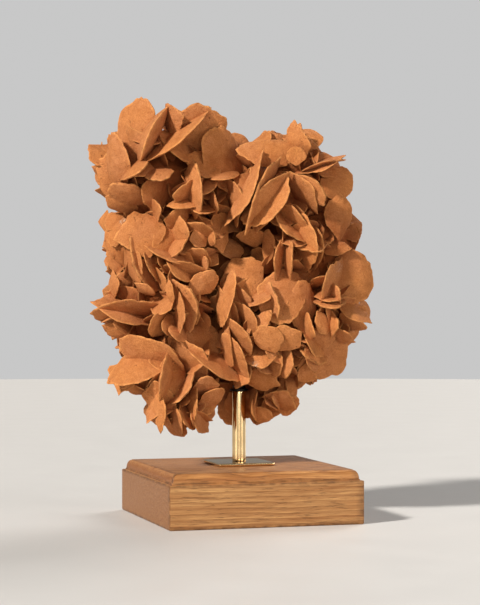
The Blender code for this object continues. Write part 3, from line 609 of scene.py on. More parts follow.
def squared_solid(name, profile, half, corner, material):
    """A profile carried round a square path. Each row of the profile is
    (inset from the side, z, squareness, edge): squareness 0 is round and 1 is square."""
    path, mark = square_path(corner / half)
    circle = path / np.linalg.norm(path, axis=1)[:, None]
    rows = np.array(profile, float)
    size = (half - rows[:, 0])[:, None, None]
    share = rows[:, 2][:, None, None]
    flat = size * (share * path + (1 - share) * circle)
    height = np.broadcast_to(rows[:, 1][:, None, None], (*flat.shape[:2], 1))
    grid = np.concatenate([flat, height], axis=-1)
    points, quads, triangles = capped_grid(grid)
    edge = np.maximum(rows[:, 3][:, None], mark[None] * rows[:, 2][:, None])
    values = {"edge": np.concatenate([edge.ravel(), [0.0, 0.0]])}
    return mesh_piece(name, points, quads, triangles, material, values)


def turned_sleeve(name, profile, bore, material, sides=96):
    """A turned tube: the profile of (radius, z) runs up the outside and the bore comes down the inside."""
    heights = [z for _, z in profile]
    inside = [(bore, z) for z in np.linspace(heights[-1] - 0.2, heights[0] + 0.2, 5)]
    rows = np.array([*profile, *inside])
    turns = np.linspace(0, 2 * math.pi, sides, endpoint=False)
    points, quads, triangles = ring_grid(round_grid(rows[:, :1], turns, rows[:, 1:]))
    return mesh_piece(name, points, quads, triangles, material, {"edge": np.zeros(len(points))})


def rounded(radius, low, high, edge, steps=5):
    """(radius, z) up the foot and the head of a turned side, two quarter circles of radius edge."""
    turn = np.linspace(0, math.pi / 2, steps)
    foot = [(radius - edge + edge * math.sin(t), low + edge - edge * math.cos(t)) for t in turn]
    head = [(radius - edge + edge * math.cos(t), high - edge + edge * math.sin(t)) for t in turn]
    return foot, head


def plinth_profile(half, height):
    """Up the plinth from its underside: foot, wall, ledge, small step, quarter round, top and bore.

    The small step and the quarter round above it are both quarter ellipses that bulge outwards.
    """
    ledge = height - LEDGE_DEPTH
    rows = [(half - 12, 0.0, 0.2, 0), (half - 40, 0.0, 0.8, 0)]
    rows += [(1.2, 0.0, 1, 0), (0.35, 0.35, 1, 1), (0.0, 1.2, 1, 1)]
    rows += [(0.0, z, 1, 0) for z in np.linspace(3.0, ledge - 2.5, 9)]
    rows += [(0.0, ledge - 0.7, 1, 1), (0.2, ledge - 0.2, 1, 1), (0.7, ledge, 1, 1), (2.4, ledge, 1, 0)]
    turn = np.linspace(0, math.pi / 2, 5)[1:]
    rows += [(2.6 + 0.7 * (1 - math.cos(t)), ledge + 1.4 * math.sin(t), 1, 1) for t in turn]
    rise = height - ledge - 1.4 - 0.5
    turn = np.linspace(0, math.pi / 2, 10)[1:]
    rows += [(3.3 + 4.0 * (1 - math.cos(t)), ledge + 1.4 + rise * math.sin(t), 1, 0) for t in turn]
    rows += [(7.35, height - 0.3, 1, 1), (7.6, height - 0.08, 1, 1), (8.0, height, 1, 1)]
    rows += [(inset, height, 1 - (inset - 8) / (half - 14), 0) for inset in (11, 20, 32, 46, 60, 72)]
    rows += [(half - PLINTH_BORE - 0.5, height, 0, 0), (half - PLINTH_BORE, height - 0.5, 0, 0)]
    return rows + [(half - PLINTH_BORE, height - depth, 0, 0) for depth in (8, 16, 16.5)]


def plate_profile(half, low, high):
    """Up the plate: its flat underside, a rounded edge and its flat top."""
    edge = 0.55
    turn = np.linspace(-math.pi / 2, math.pi / 2, 9)
    middle, reach = (low + high) / 2, (high - low) / 2
    rows = [(half - 8, low, 0.2, 0), (edge + 2, low, 1, 0)]
    rows += [
        (edge * (1 - math.cos(t)), middle + (reach - edge) * np.sign(math.sin(t)) + edge * math.sin(t), 1, 1)
        for t in turn
        if abs(math.sin(t)) > 0.01
    ]
    return rows + [(edge + 0.6, high, 1, 0.4), (6.0, high, 1, 0), (half - 8, high, 0.2, 0)]


def hex_nut(name, flats, low, high, bore, material):
    """A hexagon of flats / 2 / cos(turn from the nearest side), cut by a cone at its top and its foot."""
    turns = np.linspace(0, 2 * math.pi, 96, endpoint=False)
    hexagon = flats / 2 / np.cos((turns + math.pi / 6) % (math.pi / 3) - math.pi / 6)
    heights = np.array([low, low + 0.15, low + 0.35, low + 0.6, high - 0.6, high - 0.35, high - 0.15, high])
    depth = np.minimum(heights - low, high - heights)
    cone = flats / 2 - 0.1 + depth * 1.8
    outside = np.minimum(hexagon[None], cone[:, None])
    inside = np.full((4, len(turns)), bore)
    radius = np.concatenate([outside, inside])
    levels = np.concatenate([heights, np.linspace(high, low, 4)])[:, None]
    points, quads, triangles = ring_grid(round_grid(radius, turns, levels))
    return mesh_piece(name, points, quads, triangles, material, {"edge": np.zeros(len(points))})


def threaded_bar(name, radius, low, high, pitch, material):
    """A rod whose radius follows its thread: full radius less THREAD_DEPTH pitches times a triangle wave
    of (height / pitch - turn / full turn), flattened at the crest and the root. It narrows at its ends."""
    turns = np.linspace(0, 2 * math.pi, 20, endpoint=False)
    levels = np.arange(low, high, pitch / 6)[:, None]
    wave = np.abs(((levels / pitch - turns / (2 * math.pi)) % 1.0) * 2 - 1)
    cut = np.clip(wave * 1.25 - 0.12, 0, 1) * THREAD_DEPTH * pitch
    ease = np.clip(np.minimum(levels - low, high - levels) / ROD_END, 0, 1)
    bar = (radius - cut) * (0.8 + 0.2 * ease)
    points, quads, triangles = capped_grid(round_grid(bar, turns, levels))
    return mesh_piece(name, points, quads, triangles, material, {"edge": np.zeros(len(points))})


# ---------------------------------------------------------------- finishes

RAGGED = 0.006  # m by which the edge of a patch wanders each way
CRACK_CELL = 13.0  # mm between one crack and the next
CRACK_BEND = 0.009  # m by which noise bends them
GROWTH_RING = 4.2  # mm
BOARD = (0.0366, 0.0372)  # m up the plinth, between which the wood turns redder
RUBBED = (0.3, 0.28, 0.25)  # colour of rubbed steel


def wire(tree, node, inputs):
    """Gives each named input of a node a link, or a plain value on its own socket."""
    for key, value in inputs.items():
        if isinstance(value, bpy.types.NodeSocket):
            tree.links.new(value, node.inputs[key])
        else:
            node.inputs[key].default_value = value


def place(tree, kind, inputs=None, **settings):
    """Adds a node, sets it up and wires its inputs. Returns the node."""
    made = tree.nodes.new(kind)
    for name, value in settings.items():
        setattr(made, name, value)
    wire(tree, made, inputs or {})
    return made


def maths(tree, operation, *values, clamp=False):
    made = place(tree, "ShaderNodeMath", dict(enumerate(values)), operation=operation, use_clamp=clamp)
    return made.outputs[0]


def times(tree, first, second, clamp=False):
    return maths(tree, "MULTIPLY", first, second, clamp=clamp)


def noise(tree, vector, size, detail=2.0, roughness=0.5, distortion=0.0):
    """Noise whose lumps are about size millimetres across."""
    inputs = {"Vector": vector, "Scale": 1 / (size * MM), "Detail": detail, "Roughness": roughness}
    return place(tree, "ShaderNodeTexNoise", {**inputs, "Distortion": distortion}).outputs[0]


def ramp(tree, value, low, high, to_low=0.0, to_high=1.0):
    """Carries a value from one span to another, held at the ends."""
    spans = {"Value": value, "From Min": low, "From Max": high, "To Min": to_low, "To Max": to_high}
    return place(tree, "ShaderNodeMapRange", spans).outputs[0]


def colour(value):
    return value if isinstance(value, bpy.types.NodeSocket) else (*value, 1.0)


def mix(tree, factor, first, second, blend="MIX"):
    inputs = {0: factor, 6: colour(first), 7: colour(second)}
    return place(tree, "ShaderNodeMix", inputs, data_type="RGBA", blend_type=blend).outputs[2]


def stretched(tree, vector, x, y, z):
    """The vector with each axis multiplied, to draw a pattern out along one of them."""
    return place(tree, "ShaderNodeVectorMath", {0: vector, 1: (x, y, z)}, operation="MULTIPLY").outputs[0]


def object_space(tree):
    return place(tree, "ShaderNodeTexCoord").outputs["Object"]


def facing(tree):
    """The x, y and z of the way that the surface faces."""
    normal = place(tree, "ShaderNodeTexCoord").outputs["Normal"]
    return place(tree, "ShaderNodeSeparateXYZ", {0: normal}).outputs


def value_of(tree, name):
    return place(tree, "ShaderNodeAttribute", attribute_name=name).outputs["Fac"]


def effect(name, inputs, outputs, build):
    """A shader node group, built once: a vector and the named inputs, and named number outputs.
    build(tree, ins) returns the outputs in order."""
    tree = bpy.data.node_groups.new(name, "ShaderNodeTree")
    kinds = {float: "NodeSocketFloat", tuple: "NodeSocketVector"}
    for label, value in {"Vector": (0.0, 0.0, 0.0), **inputs}.items():
        made = tree.interface.new_socket(label, in_out="INPUT", socket_type=kinds[type(value)])
        made.default_value = value
    for label in outputs:
        tree.interface.new_socket(label, in_out="OUTPUT", socket_type="NodeSocketFloat")
    ins = tree.nodes.new("NodeGroupInput").outputs
    outs = tree.nodes.new("NodeGroupOutput").inputs
    for socket, result in zip(outs, build(tree, ins)):
        tree.links.new(result, socket)
    return tree


def use(tree, group, **inputs):
    """Places a node group in a material with its own values."""
    return place(tree, "ShaderNodeGroup", inputs, node_tree=group).outputs


def grain_effect(tree, ins):
    """Sandy grain: fine and coarse noise for the tone and the height, and pits where two noises meet high."""
    fine = noise(tree, ins["Vector"], 1.1, 4.0, 0.75)
    coarse = noise(tree, ins["Vector"], 3.4, 4.0, 0.65)
    holes = noise(tree, ins["Vector"], 2.4, 3.0, 0.7, 0.6)
    where = ramp(tree, noise(tree, ins["Vector"], 11.0, 2.0), 0.48, 0.66)
    pits = times(tree, ramp(tree, holes, 0.64, 0.76, 0.0, 0.6), where)
    pits = times(tree, pits, ins["Pitting"], clamp=True)
    height = maths(tree, "ADD", times(tree, fine, 0.5), times(tree, coarse, 0.5))
    return fine, pits, maths(tree, "SUBTRACT", height, times(tree, pits, 0.5))


def worn_and_lit_edges(tree, ins):
    """The edge value, eaten into by noise of the given size in millimetres. On the stone it is the mask
    of the painted highlight on the rims; on the wood, of real wear on its edges.
    """
    scale = maths(tree, "DIVIDE", 1 / MM, ins["Size"])
    inputs = {"Vector": ins["Vector"], "Scale": scale, "Detail": 3.0}
    patches = ramp(tree, place(tree, "ShaderNodeTexNoise", inputs).outputs[0], 0.32, 0.62)
    return (times(tree, ramp(tree, ins["Edge"], 0.0, 1.0), patches, clamp=True),)


def dust_effect(tree, ins):
    """Settled dust: thickest on faces that look up, in soft patches."""
    up = facing(tree)[2]
    patches = ramp(tree, noise(tree, ins["Vector"], 9.0, 4.0, 0.6), 0.35, 0.75)
    return (times(tree, ramp(tree, up, 0.3, 0.95), patches, clamp=True),)


def scratch_effect(tree, ins):
    """Fine brushed scratches: noise drawn out along the third axis of the vector."""
    drawn = stretched(tree, ins["Vector"], 1.0, 1.0, 0.03)
    return (noise(tree, drawn, 0.35, 3.0, 0.65), noise(tree, ins["Vector"], 14.0, 2.0))


def patch_effect(tree, ins):
    """A patch with a ragged edge: 1 at its centre, 0 past its radius, with noise added to the distance."""
    away = place(tree, "ShaderNodeVectorMath", {0: ins["Vector"], 1: ins["Centre"]}, operation="DISTANCE")
    wander = noise(tree, ins["Vector"], 5.0, 4.0, 0.65)
    ragged = maths(tree, "MULTIPLY_ADD", wander, 2 * RAGGED, away.outputs["Value"])
    share = maths(tree, "DIVIDE", maths(tree, "SUBTRACT", ragged, RAGGED), ins["Radius"])
    return (ramp(tree, share, 1.0, 0.55),)


def make_effects():
    """The node groups that the finishes share, by name."""
    origin = (0.0, 0.0, 0.0)
    return {
        "grain": effect("Sandy grain", {"Pitting": 1.0}, ("Tone", "Pits", "Height"), grain_effect),
        "edge_wear_and_highlight": effect("Worn edges and highlights", {"Edge": 0.0, "Size": 4.0}, ("Mask",), worn_and_lit_edges),
        "dust": effect("Settled dust", {}, ("Mask",), dust_effect),
        "scratches": effect("Brushed scratches", {}, ("Fine", "Cloud"), scratch_effect),
        "patch": effect("Ragged patch", {"Centre": origin, "Radius": 0.01}, ("Mask",), patch_effect),
    }


def finish_tree(name):
    """A new material: its tree and its shader."""
    made = bpy.data.materials.new(name)
    made.use_nodes = True
    return made, made.node_tree, made.node_tree.nodes["Principled BSDF"]


def bump(tree, height, distance, normal=None):
    """Bump whose height of 1 stands distance millimetres proud."""
    inputs = {"Height": height, "Distance": distance * MM, "Strength": 1.0}
    if normal:
        inputs["Normal"] = normal
    return place(tree, "ShaderNodeBump", inputs).outputs[0]


def gypsum(effects, settings):
    """Terracotta gypsum: clouds of pink and ochre, sandy grain, pits and short cracks with painted shade in
    them, painted highlight on the rims, pale crust, and painted shade between the blades."""
    made, tree, shader = finish_tree("terracotta gypsum")
    space = object_space(tree)
    rim, tone, deep = value_of(tree, "rim"), value_of(tree, "tone"), value_of(tree, "deep")
    grain = use(tree, effects["grain"], Vector=space, Pitting=1.0)
    clouds = noise(tree, space, 30.0, 3.0, 0.55)
    mottles = noise(tree, space, 7.0, 4.0, 0.6)
    lean = maths(tree, "ADD", ramp(tree, clouds, 0.35, 0.65, 0.0, 0.55), times(tree, tone, 0.45))
    base = mix(tree, lean, settings.ochre, settings.pink)
    base = mix(tree, ramp(tree, mottles, 0.42, 0.7, 0.0, 0.5), base, settings.brown)
    base = mix(tree, ramp(tree, grain["Tone"], 0.38, 0.6, 0.55, 0.0), base, settings.brown)
    speck = ramp(tree, noise(tree, space, 0.9, 2.0), 0.56, 0.74, 0.0, 0.3)
    base = mix(tree, speck, base, settings.rim_highlight_and_speck_colour)
    push = place(tree, "ShaderNodeTexNoise", {"Vector": space, "Scale": 110.0, "Detail": 4.0}).outputs[1]
    inputs = {0: push, 1: (CRACK_BEND, CRACK_BEND, CRACK_BEND), 2: space}
    bent = place(tree, "ShaderNodeVectorMath", inputs, operation="MULTIPLY_ADD").outputs[0]
    inputs = {"Vector": bent, "Scale": 1 / (CRACK_CELL * MM)}
    cells = place(tree, "ShaderNodeTexVoronoi", inputs, feature="DISTANCE_TO_EDGE")
    some = ramp(tree, noise(tree, space, 12.0, 2.0), 0.63, 0.7)
    cracks = times(tree, ramp(tree, cells.outputs["Distance"], 0.016, 0.0), some)
    seam = times(tree, ramp(tree, rim, 0.985, 1.0), ramp(tree, noise(tree, space, 5.0, 3.0), 0.5, 0.6))
    # Painted shade: cracks, pits and a thin seam along each rim are darkened towards the crack colour
    dark = maths(tree, "MAXIMUM", maths(tree, "MAXIMUM", cracks, times(tree, seam, 0.6)), grain["Pits"])
    base = mix(tree, times(tree, dark, 0.62), base, settings.crack)
    # Painted highlight: the rims are lightened towards the rim colour, in ragged patches
    lit = use(tree, effects["edge_wear_and_highlight"], Vector=space, Edge=ramp(tree, rim, 0.9, 0.985), Size=4.0)["Mask"]
    base = mix(tree, times(tree, lit, 0.7), base, settings.rim_highlight_and_speck_colour)
    # Painted shade: deep between the blades the stone turns towards the painted shade colour
    base = mix(tree, times(tree, deep, 0.8), base, settings.painted_shade_colour)
    crust = None
    for x, z, out, radius in PALE_SPOTS:
        centre = turn_about_rod(np.array([x, -out, z]), settings) * MM
        spot = use(tree, effects["patch"], Vector=space, Centre=centre, Radius=radius * MM)["Mask"]
        crust = spot if crust is None else maths(tree, "MAXIMUM", crust, spot)
    flecks = times(tree, crust, ramp(tree, noise(tree, space, 1.8, 3.0, 0.7), 0.42, 0.6))
    base = mix(tree, times(tree, flecks, 0.55), base, settings.pale)
    swell = bump(tree, maths(tree, "ADD", mottles, times(tree, flecks, 0.5)), 1.3)
    sand = bump(tree, grain["Height"], 1.9, swell)
    carved = bump(tree, maths(tree, "SUBTRACT", 1.0, dark), 0.5, sand)
    rough = ramp(tree, grain["Tone"], 0.2, 0.8, 0.78, 0.95)
    wire(tree, shader, {"Base Color": base, "Roughness": rough, "Normal": carved, "Specular IOR Level": 0.15})
    return made


def hardwood(effects, settings):
    """Stained hardwood: growth rings round an axis along the plinth, so long grain shows on the front and
    the top and arcs on the ends. Above the ledge the board is redder."""
    made, tree, shader = finish_tree("satin hardwood")
    space = object_space(tree)
    edge = value_of(tree, "edge")
    drift = noise(tree, stretched(tree, space, 0.35, 1.0, 1.0), 38.0, 2.0, 0.5)
    place_in = place(tree, "ShaderNodeSeparateXYZ", {0: space}).outputs
    across = maths(tree, "ADD", place_in[1], maths(tree, "MULTIPLY_ADD", drift, 0.05, 0.035))
    up = maths(tree, "ADD", place_in[2], maths(tree, "MULTIPLY_ADD", drift, 0.03, 0.03))
    radius = maths(tree, "SQRT", maths(tree, "ADD", times(tree, across, across), times(tree, up, up)))
    ring = maths(tree, "FRACT", times(tree, radius, 1 / (GROWTH_RING * MM)))
    late = maths(tree, "POWER", ring, 2.4)
    fibre = noise(tree, stretched(tree, space, 0.035, 1.0, 1.0), 0.8, 3.0, 0.65)
    streak = noise(tree, stretched(tree, space, 0.06, 1.0, 1.0), 5.0, 3.0, 0.6)
    pores = ramp(tree, noise(tree, stretched(tree, space, 0.05, 1.0, 1.0), 0.55, 2.0), 0.62, 0.72)
    base = mix(tree, ramp(tree, streak, 0.3, 0.7), settings.wood_light, settings.wood_mid)
    base = mix(tree, times(tree, late, 0.62), base, settings.wood_dark)
    base = mix(tree, ramp(tree, fibre, 0.35, 0.7, 0.0, 0.6), base, settings.wood_dark)
    base = mix(tree, times(tree, pores, 0.55), base, settings.wood_pore)
    end = ramp(tree, maths(tree, "ABSOLUTE", facing(tree)[0]), 0.6, 0.95)
    base = mix(tree, times(tree, end, 0.66), base, settings.wood_dark)
    board = ramp(tree, place_in[2], *BOARD)
    base = mix(tree, times(tree, board, 0.7), base, mix(tree, 1.0, base, settings.wood_stain, "MULTIPLY"))
    worn = use(tree, effects["edge_wear_and_highlight"], Vector=space, Edge=edge, Size=7.0)["Mask"]
    base = mix(tree, times(tree, worn, 0.6), base, settings.wood_pore)
    dust = use(tree, effects["dust"], Vector=space)["Mask"]
    base = mix(tree, times(tree, dust, 0.05), base, settings.dust)
    height = maths(tree, "ADD", fibre, times(tree, pores, -1.5))
    rough = maths(tree, "ADD", ramp(tree, fibre, 0.3, 0.7, 0.36, 0.5), times(tree, dust, 0.08))
    coat = ramp(tree, streak, 0.3, 0.7, 0.12, 0.03)
    wire(tree, shader, {"Base Color": base, "Roughness": rough, "Normal": bump(tree, height, 0.12)})
    wire(tree, shader, {"Coat Weight": coat, "Coat Roughness": 0.22, "Specular IOR Level": 0.2})
    return made


def polished_brass(effects, settings):
    """Polished brass: fine scratches along the height, faint clouds of tarnish, dust on top."""
    made, tree, shader = finish_tree("polished brass")
    space = object_space(tree)
    scratch = use(tree, effects["scratches"], Vector=space)
    dust = use(tree, effects["dust"], Vector=space)["Mask"]
    base = mix(tree, ramp(tree, scratch["Cloud"], 0.35, 0.7, 0.0, 0.5), settings.brass, settings.brass_dark)
    base = mix(tree, times(tree, dust, 0.08), base, settings.dust)
    rough = maths(tree, "ADD", ramp(tree, scratch["Fine"], 0.3, 0.7, 0.12, 0.2), times(tree, dust, 0.1))
    normal = bump(tree, scratch["Fine"], 0.006)
    wire(tree, shader, {"Base Color": base, "Roughness": rough, "Metallic": 1.0, "Normal": normal})
    return made


def blackened_steel(effects, settings):
    """Blackened steel: dark oxide with paler rubbed scratches."""
    made, tree, shader = finish_tree("blackened steel")
    space = object_space(tree)
    scratch = use(tree, effects["scratches"], Vector=space)
    rubbed = ramp(tree, scratch["Fine"], 0.55, 0.75)
    base = mix(tree, times(tree, rubbed, 0.35), settings.steel, RUBBED)
    rough = ramp(tree, scratch["Cloud"], 0.3, 0.7, 0.35, 0.6)
    normal = bump(tree, scratch["Fine"], 0.01)
    wire(tree, shader, {"Base Color": base, "Roughness": rough, "Metallic": 1.0, "Normal": normal})
    return made


FINISHES = {}


def finish(kind):
    """One of the finishes, made the first time that a piece asks for it."""
    if not FINISHES:
        FINISHES["effects"] = make_effects()
    if kind not in FINISHES:
        makers = {"gypsum": gypsum, "wood": hardwood, "brass": polished_brass, "steel": blackened_steel}
        scene = bpy.context.scene
        settings = scene.sand_rose if kind == "gypsum" else scene.sand_rose_stand
        FINISHES[kind] = makers[kind](FINISHES["effects"], settings)
    return FINISHES[kind]


# ---------------------------------------------------------------- settings


def shade(name, value, description):
    return bpy.props.FloatVectorProperty(
        name=name, description=description, default=value, subtype="COLOR", size=3, min=0.0, max=1.0
    )


def number(name, value, description, subtype="NONE", **limits):
    return bpy.props.FloatProperty(
        name=name, description=description, default=value, subtype=subtype, **limits
    )


class RoseSettings(bpy.types.PropertyGroup):
    """Sizes and colours of the stone, and the colours of its painted shade and painted highlight."""

    turn: number("Turn", math.radians(-17.0), "Turn of the rose about its rod", "ANGLE")
    rim: number("Rim", 0.0009, "Thickness of a blade at its rim", "DISTANCE")
    cell: number("Cell", 0.0021, "Spacing of the points round a blade", "DISTANCE")
    fullness: number("Fullness", 2.2, "Blades in each grown rosette, against its row", min=1.0)
    ochre: shade("Ochre", (0.57, 0.218, 0.062), "Main colour of the stone")
    pink: shade("Pink", (0.55, 0.222, 0.088), "Second colour, in clouds and on some blades")
    brown: shade("Brown", (0.33, 0.098, 0.022), "Darker mottling")
    # painted highlight on the blades' rims; also the colour of pale specks in the grain
    rim_highlight_and_speck_colour: shade("Rim colour", (0.78, 0.34, 0.105), "Painted highlight on the rims, and pale grain specks")
    pale: shade("Pale", (0.80, 0.62, 0.46), "Bleached grains and crust")
    # painted shade between the blades, not a colour of the stone
    painted_shade_colour: shade("Painted shade colour", (0.17, 0.028, 0.004), "Painted shade deep between the blades")
    # painted shade at the bottom of cracks and pits
    crack: shade("Crack", (0.12, 0.035, 0.012), "Bottom of cracks and pits")


class StandSettings(bpy.types.PropertyGroup):
    """Sizes and colours of the plinth and the metal parts."""

    pitch: number("Pitch", 0.001, "Pitch of the rod's thread", "DISTANCE")
    corner: number("Corner", 0.0009, "Radius of the plinth's upright edges", "DISTANCE")
    wood_light: shade("Light wood", (0.58, 0.310, 0.115), "Early wood")
    wood_mid: shade("Wood", (0.36, 0.155, 0.050), "Streaks")
    wood_dark: shade("Dark wood", (0.17, 0.060, 0.016), "Late wood")
    wood_pore: shade("Pores", (0.055, 0.022, 0.010), "Pores and darkened edges")
    wood_stain: shade("Stain", (1.0, 0.86, 0.74), "Redder stain of the moulded board")
    brass: shade("Brass", (0.82, 0.60, 0.32), "Clean brass")
    brass_dark: shade("Tarnish", (0.55, 0.36, 0.16), "Tarnished brass")
    steel: shade("Steel", (0.035, 0.030, 0.026), "Blackened steel")
    dust: shade("Dust", (0.55, 0.50, 0.44), "Dust on faces that look up")


class StudioSettings(bpy.types.PropertyGroup):
    """Floor, light and camera."""

    floor: shade("Floor", (0.62, 0.60, 0.57), "Plain floor")
    backdrop: shade("Backdrop", (0.80, 0.80, 0.80), "Light from all round")
    surround: number("Surround", 0.05, "Strength of the light from all round")
    key: number("Key", 5.0, "Strength of the key light")
    fill: number("Fill", 0.65, "Strength of the fill light")
    azimuth: number("Azimuth", math.radians(-16.87), "Turn of the camera about the rod", "ANGLE")
    distance: number("Distance", 1.645, "From the rod to the camera", "DISTANCE")
    height: number("Height", 0.1874, "Camera above the floor", "DISTANCE")
    reach: number("Reach", 3.10744, "Focal length in picture heights")


# ---------------------------------------------------------------- operators

SEEN = 0.72  # strength of the surround where the camera looks at it
MIRRORED = 0.4  # share of that in reflections
AIM_HEIGHT = 0.2  # m; the lamps point at the rod here
CAMERA_ASIDE = 0.0009  # m from the rod, to the right
FLOOR_RADIUS = 3000  # mm


class SANDROSE_OT_show_side(bpy.types.Operator):
    """Make the blades of the show side, in a left and a right piece"""

    bl_idname = "sand_rose.show_side"
    bl_label = "Show Side"

    def execute(self, context):
        settings = context.scene.sand_rose
        split_pieces("rose_show", [*show_blades()], SHOW_SPLIT, settings)
        crossings = [*crossing_blades()]
        half = len(crossings) // 2
        blade_piece("rose_crossings_left", crossings[:half], settings, small=True)
        blade_piece("rose_crossings_right", crossings[half:], settings, small=True)
        return {"FINISHED"}


class SANDROSE_OT_back_side(bpy.types.Operator):
    """Make the rosettes of the back, the sides and the underside"""

    bl_idname = "sand_rose.back_side"
    bl_label = "Back Side"

    def execute(self, context):
        settings = context.scene.sand_rose
        split_pieces("rose_back", [*grown_blades(settings.fullness)], BACK_SPLIT, settings)
        return {"FINISHED"}


class SANDROSE_OT_heart(bpy.types.Operator):
    """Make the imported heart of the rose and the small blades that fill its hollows"""

    bl_idname = "sand_rose.heart"
    bl_label = "Heart"

    def execute(self, context):
        settings = context.scene.sand_rose
        stone_piece("rose_heart", lump_skins(), settings)
        blade_piece("rose_hollows", heart_blades(), settings, small=True)
        return {"FINISHED"}


class SANDROSE_OT_plinth(bpy.types.Operator):
    """Make the moulded plinth with its blind bore"""

    bl_idname = "sand_rose.plinth"
    bl_label = "Plinth"

    def execute(self, context):
        low, high = node_box("wooden_plinth")
        half = (high[0] - low[0]) / 2
        corner = context.scene.sand_rose_stand.corner / MM
        piece = squared_solid("plinth_body", plinth_profile(half, high[2]), half, corner, finish("wood"))
        seat(piece, "wooden_plinth")
        return {"FINISHED"}


class SANDROSE_OT_brass(bpy.types.Operator):
    """Make the brass plate and tube, and finish the threaded insert"""

    bl_idname = "sand_rose.brass"
    bl_label = "Brass"

    def execute(self, context):
        low, high = node_box("brass_plate")
        half = (high[0] - low[0]) / 2
        profile = plate_profile(half, low[2], high[2])
        plate = squared_solid("plate_body", profile, half, PLATE_CORNER, finish("brass"))
        seat(plate, "brass_plate")
        low, high = node_box("brass_tube")
        radius = (high[0] - low[0]) / 2
        wall = [(radius, z) for z in np.linspace(low[2] + 2, high[2] - 2, 12)]
        foot, head = rounded(radius, low[2], high[2], TUBE_EDGE)
        tube = turned_sleeve("tube_body", foot + wall + head, TUBE_BORE, finish("brass"))
        seat(tube, "brass_tube")
        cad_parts["threaded_insert"].material_slots[0].material = finish("brass")
        return {"FINISHED"}


class SANDROSE_OT_steel(bpy.types.Operator):
    """Make the threaded rod, the washer and the nut"""

    bl_idname = "sand_rose.steel"
    bl_label = "Steel"

    def execute(self, context):
        steel = finish("steel")
        low, high = node_box("threaded_rod")
        pitch = context.scene.sand_rose_stand.pitch / MM
        rod = threaded_bar("rod_thread", (high[0] - low[0]) / 2, low[2], high[2], pitch, steel)
        seat(rod, "threaded_rod")
        low, high = node_box("tube_washer")
        foot, head = rounded((high[0] - low[0]) / 2, low[2], high[2], WASHER_EDGE)
        washer = turned_sleeve("washer_body", foot + head, ROD_BORE, steel)
        seat(washer, "tube_washer")
        low, high = node_box("tube_nut")
        flats = min(high[0] - low[0], high[1] - low[1])
        seat(hex_nut("nut_body", flats, low[2], high[2], ROD_BORE, steel), "tube_nut")
        return {"FINISHED"}


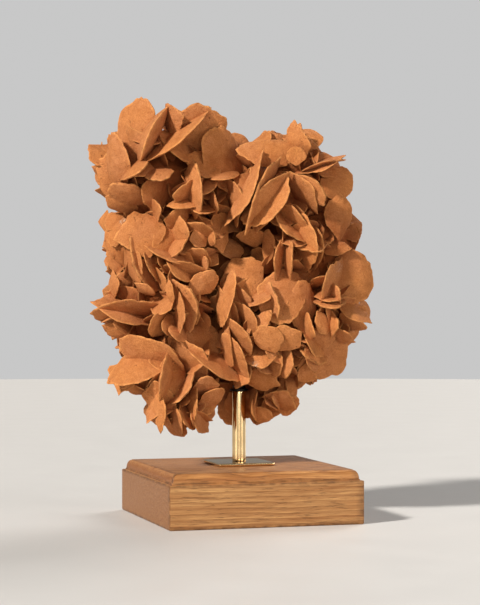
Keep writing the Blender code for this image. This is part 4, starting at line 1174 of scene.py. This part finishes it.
class SANDROSE_OT_studio(bpy.types.Operator):
    """Make a plain floor, soft lights and the camera"""

    bl_idname = "sand_rose.studio"
    bl_label = "Studio"

    def execute(self, context):
        settings = context.scene.sand_rose_studio
        scene = context.scene
        floor = self.floor(settings)
        floor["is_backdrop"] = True
        back = Vector((math.sin(settings.azimuth), -math.cos(settings.azimuth), 0.0))
        right = Vector((math.cos(settings.azimuth), math.sin(settings.azimuth), 0.0))
        aim = Vector((0.0, 0.0, AIM_HEIGHT))
        lamps = (
            ("key", (-0.95, 0.85, 1.05), 6.0, settings.key, (1.0, 0.97, 0.93)),
            ("fill", (1.3, 0.9, 0.5), 32.0, settings.fill * 1.6, (1.0, 0.96, 0.92)),
            ("front", (0.1, 1.6, 0.35), 28.0, settings.fill, (1.0, 0.95, 0.9)),
            ("behind", (0.8, -1.2, 1.1), 30.0, settings.fill * 2.6, (1.0, 0.98, 0.96)),
        )
        for name, (across, near, height), width, strength, tint in lamps:
            light = bpy.data.lights.new(name, "SUN")
            light.energy, light.color, light.angle = strength, tint, math.radians(width)
            lamp = bpy.data.objects.new(name, light)
            lamp.location = right * across + back * near + Vector((0.0, 0.0, height))
            lamp.rotation_euler = (aim - lamp.location).to_track_quat("-Z", "Y").to_euler()
            scene.collection.objects.link(lamp)
        world = bpy.data.worlds.new("soft surround")
        world.use_nodes = True
        tree = world.node_tree
        shader = tree.nodes["Background"]
        shader.inputs["Color"].default_value = (*settings.backdrop, 1.0)
        path = place(tree, "ShaderNodeLightPath").outputs
        mirrored = times(tree, path["Is Glossy Ray"], MIRRORED)
        seen = maths(tree, "MAXIMUM", path["Is Camera Ray"], mirrored)
        wire(tree, shader, {"Strength": ramp(tree, seen, 0.0, 1.0, settings.surround, SEEN)})
        scene.world = world
        scene.view_settings.view_transform = "Standard"
        lens = bpy.data.cameras.new("camera")
        lens.sensor_fit, lens.sensor_height = "VERTICAL", 36.0
        lens.lens = settings.reach * lens.sensor_height
        camera = bpy.data.objects.new("camera", lens)
        camera.location = back * settings.distance + right * CAMERA_ASIDE
        camera.location.z = settings.height
        camera.rotation_euler = (-back).to_track_quat("-Z", "Y").to_euler()
        scene.collection.objects.link(camera)
        scene.camera = camera
        return {"FINISHED"}

    def floor(self, settings):
        """A flat disc: rings of points whose radius grows with the square of their number."""
        turns = np.linspace(0, 2 * math.pi, 64, endpoint=False)
        radius = (np.arange(1, 13)[:, None] / 12) ** 2 * FLOOR_RADIUS
        points = np.vstack([round_grid(radius, turns, 0.0).reshape(-1, 3), [[0.0, 0.0, 0.0]]])
        fan = fan_faces(np.arange(64), len(points) - 1)
        made, tree, shader = finish_tree("plain floor")
        cloud = ramp(tree, noise(tree, object_space(tree), 60.0, 3.0), 0.3, 0.7, 0.46, 0.54)
        wire(tree, shader, {"Base Color": (*settings.floor, 1.0), "Roughness": cloud})
        return mesh_piece("floor", points, grid_faces(12, 64)[:, ::-1], fan, made)


class SANDROSE_PT_tools(bpy.types.Panel):
    """The pieces of the sand rose and their settings"""

    bl_label = "Sand Rose"
    bl_idname = "SANDROSE_PT_tools"
    bl_space_type = "VIEW_3D"
    bl_region_type = "UI"
    bl_category = "Sand Rose"

    def draw(self, context):
        groups = (
            (context.scene.sand_rose, OPERATORS[:3]),
            (context.scene.sand_rose_stand, OPERATORS[3:6]),
            (context.scene.sand_rose_studio, OPERATORS[6:]),
        )
        for settings, operators in groups:
            box = self.layout.box()
            for name in settings.__annotations__:
                box.prop(settings, name)
            for operator in operators:
                box.operator(operator.bl_idname)


OPERATORS = (
    SANDROSE_OT_show_side,
    SANDROSE_OT_back_side,
    SANDROSE_OT_heart,
    SANDROSE_OT_plinth,
    SANDROSE_OT_brass,
    SANDROSE_OT_steel,
    SANDROSE_OT_studio,
)
CLASSES = (RoseSettings, StandSettings, StudioSettings, *OPERATORS, SANDROSE_PT_tools)


def register():
    for each in CLASSES:
        bpy.utils.register_class(each)
    bpy.types.Scene.sand_rose = bpy.props.PointerProperty(type=RoseSettings)
    bpy.types.Scene.sand_rose_stand = bpy.props.PointerProperty(type=StandSettings)
    bpy.types.Scene.sand_rose_studio = bpy.props.PointerProperty(type=StudioSettings)


def unregister():
    del bpy.types.Scene.sand_rose_studio
    del bpy.types.Scene.sand_rose_stand
    del bpy.types.Scene.sand_rose
    for each in reversed(CLASSES):
        bpy.utils.unregister_class(each)


def main():
    register()
    bpy.ops.sand_rose.show_side()
    bpy.ops.sand_rose.back_side()
    bpy.ops.sand_rose.heart()
    bpy.ops.sand_rose.plinth()
    bpy.ops.sand_rose.brass()
    bpy.ops.sand_rose.steel()
    bpy.ops.sand_rose.studio()
    boxes = {"cad": CAD_BOUNDS, "visual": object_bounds()}
    sizes = {label: [list(corner) for corner in corners] for label, corners in boxes.items()}


if __name__ == "__main__":
    main()
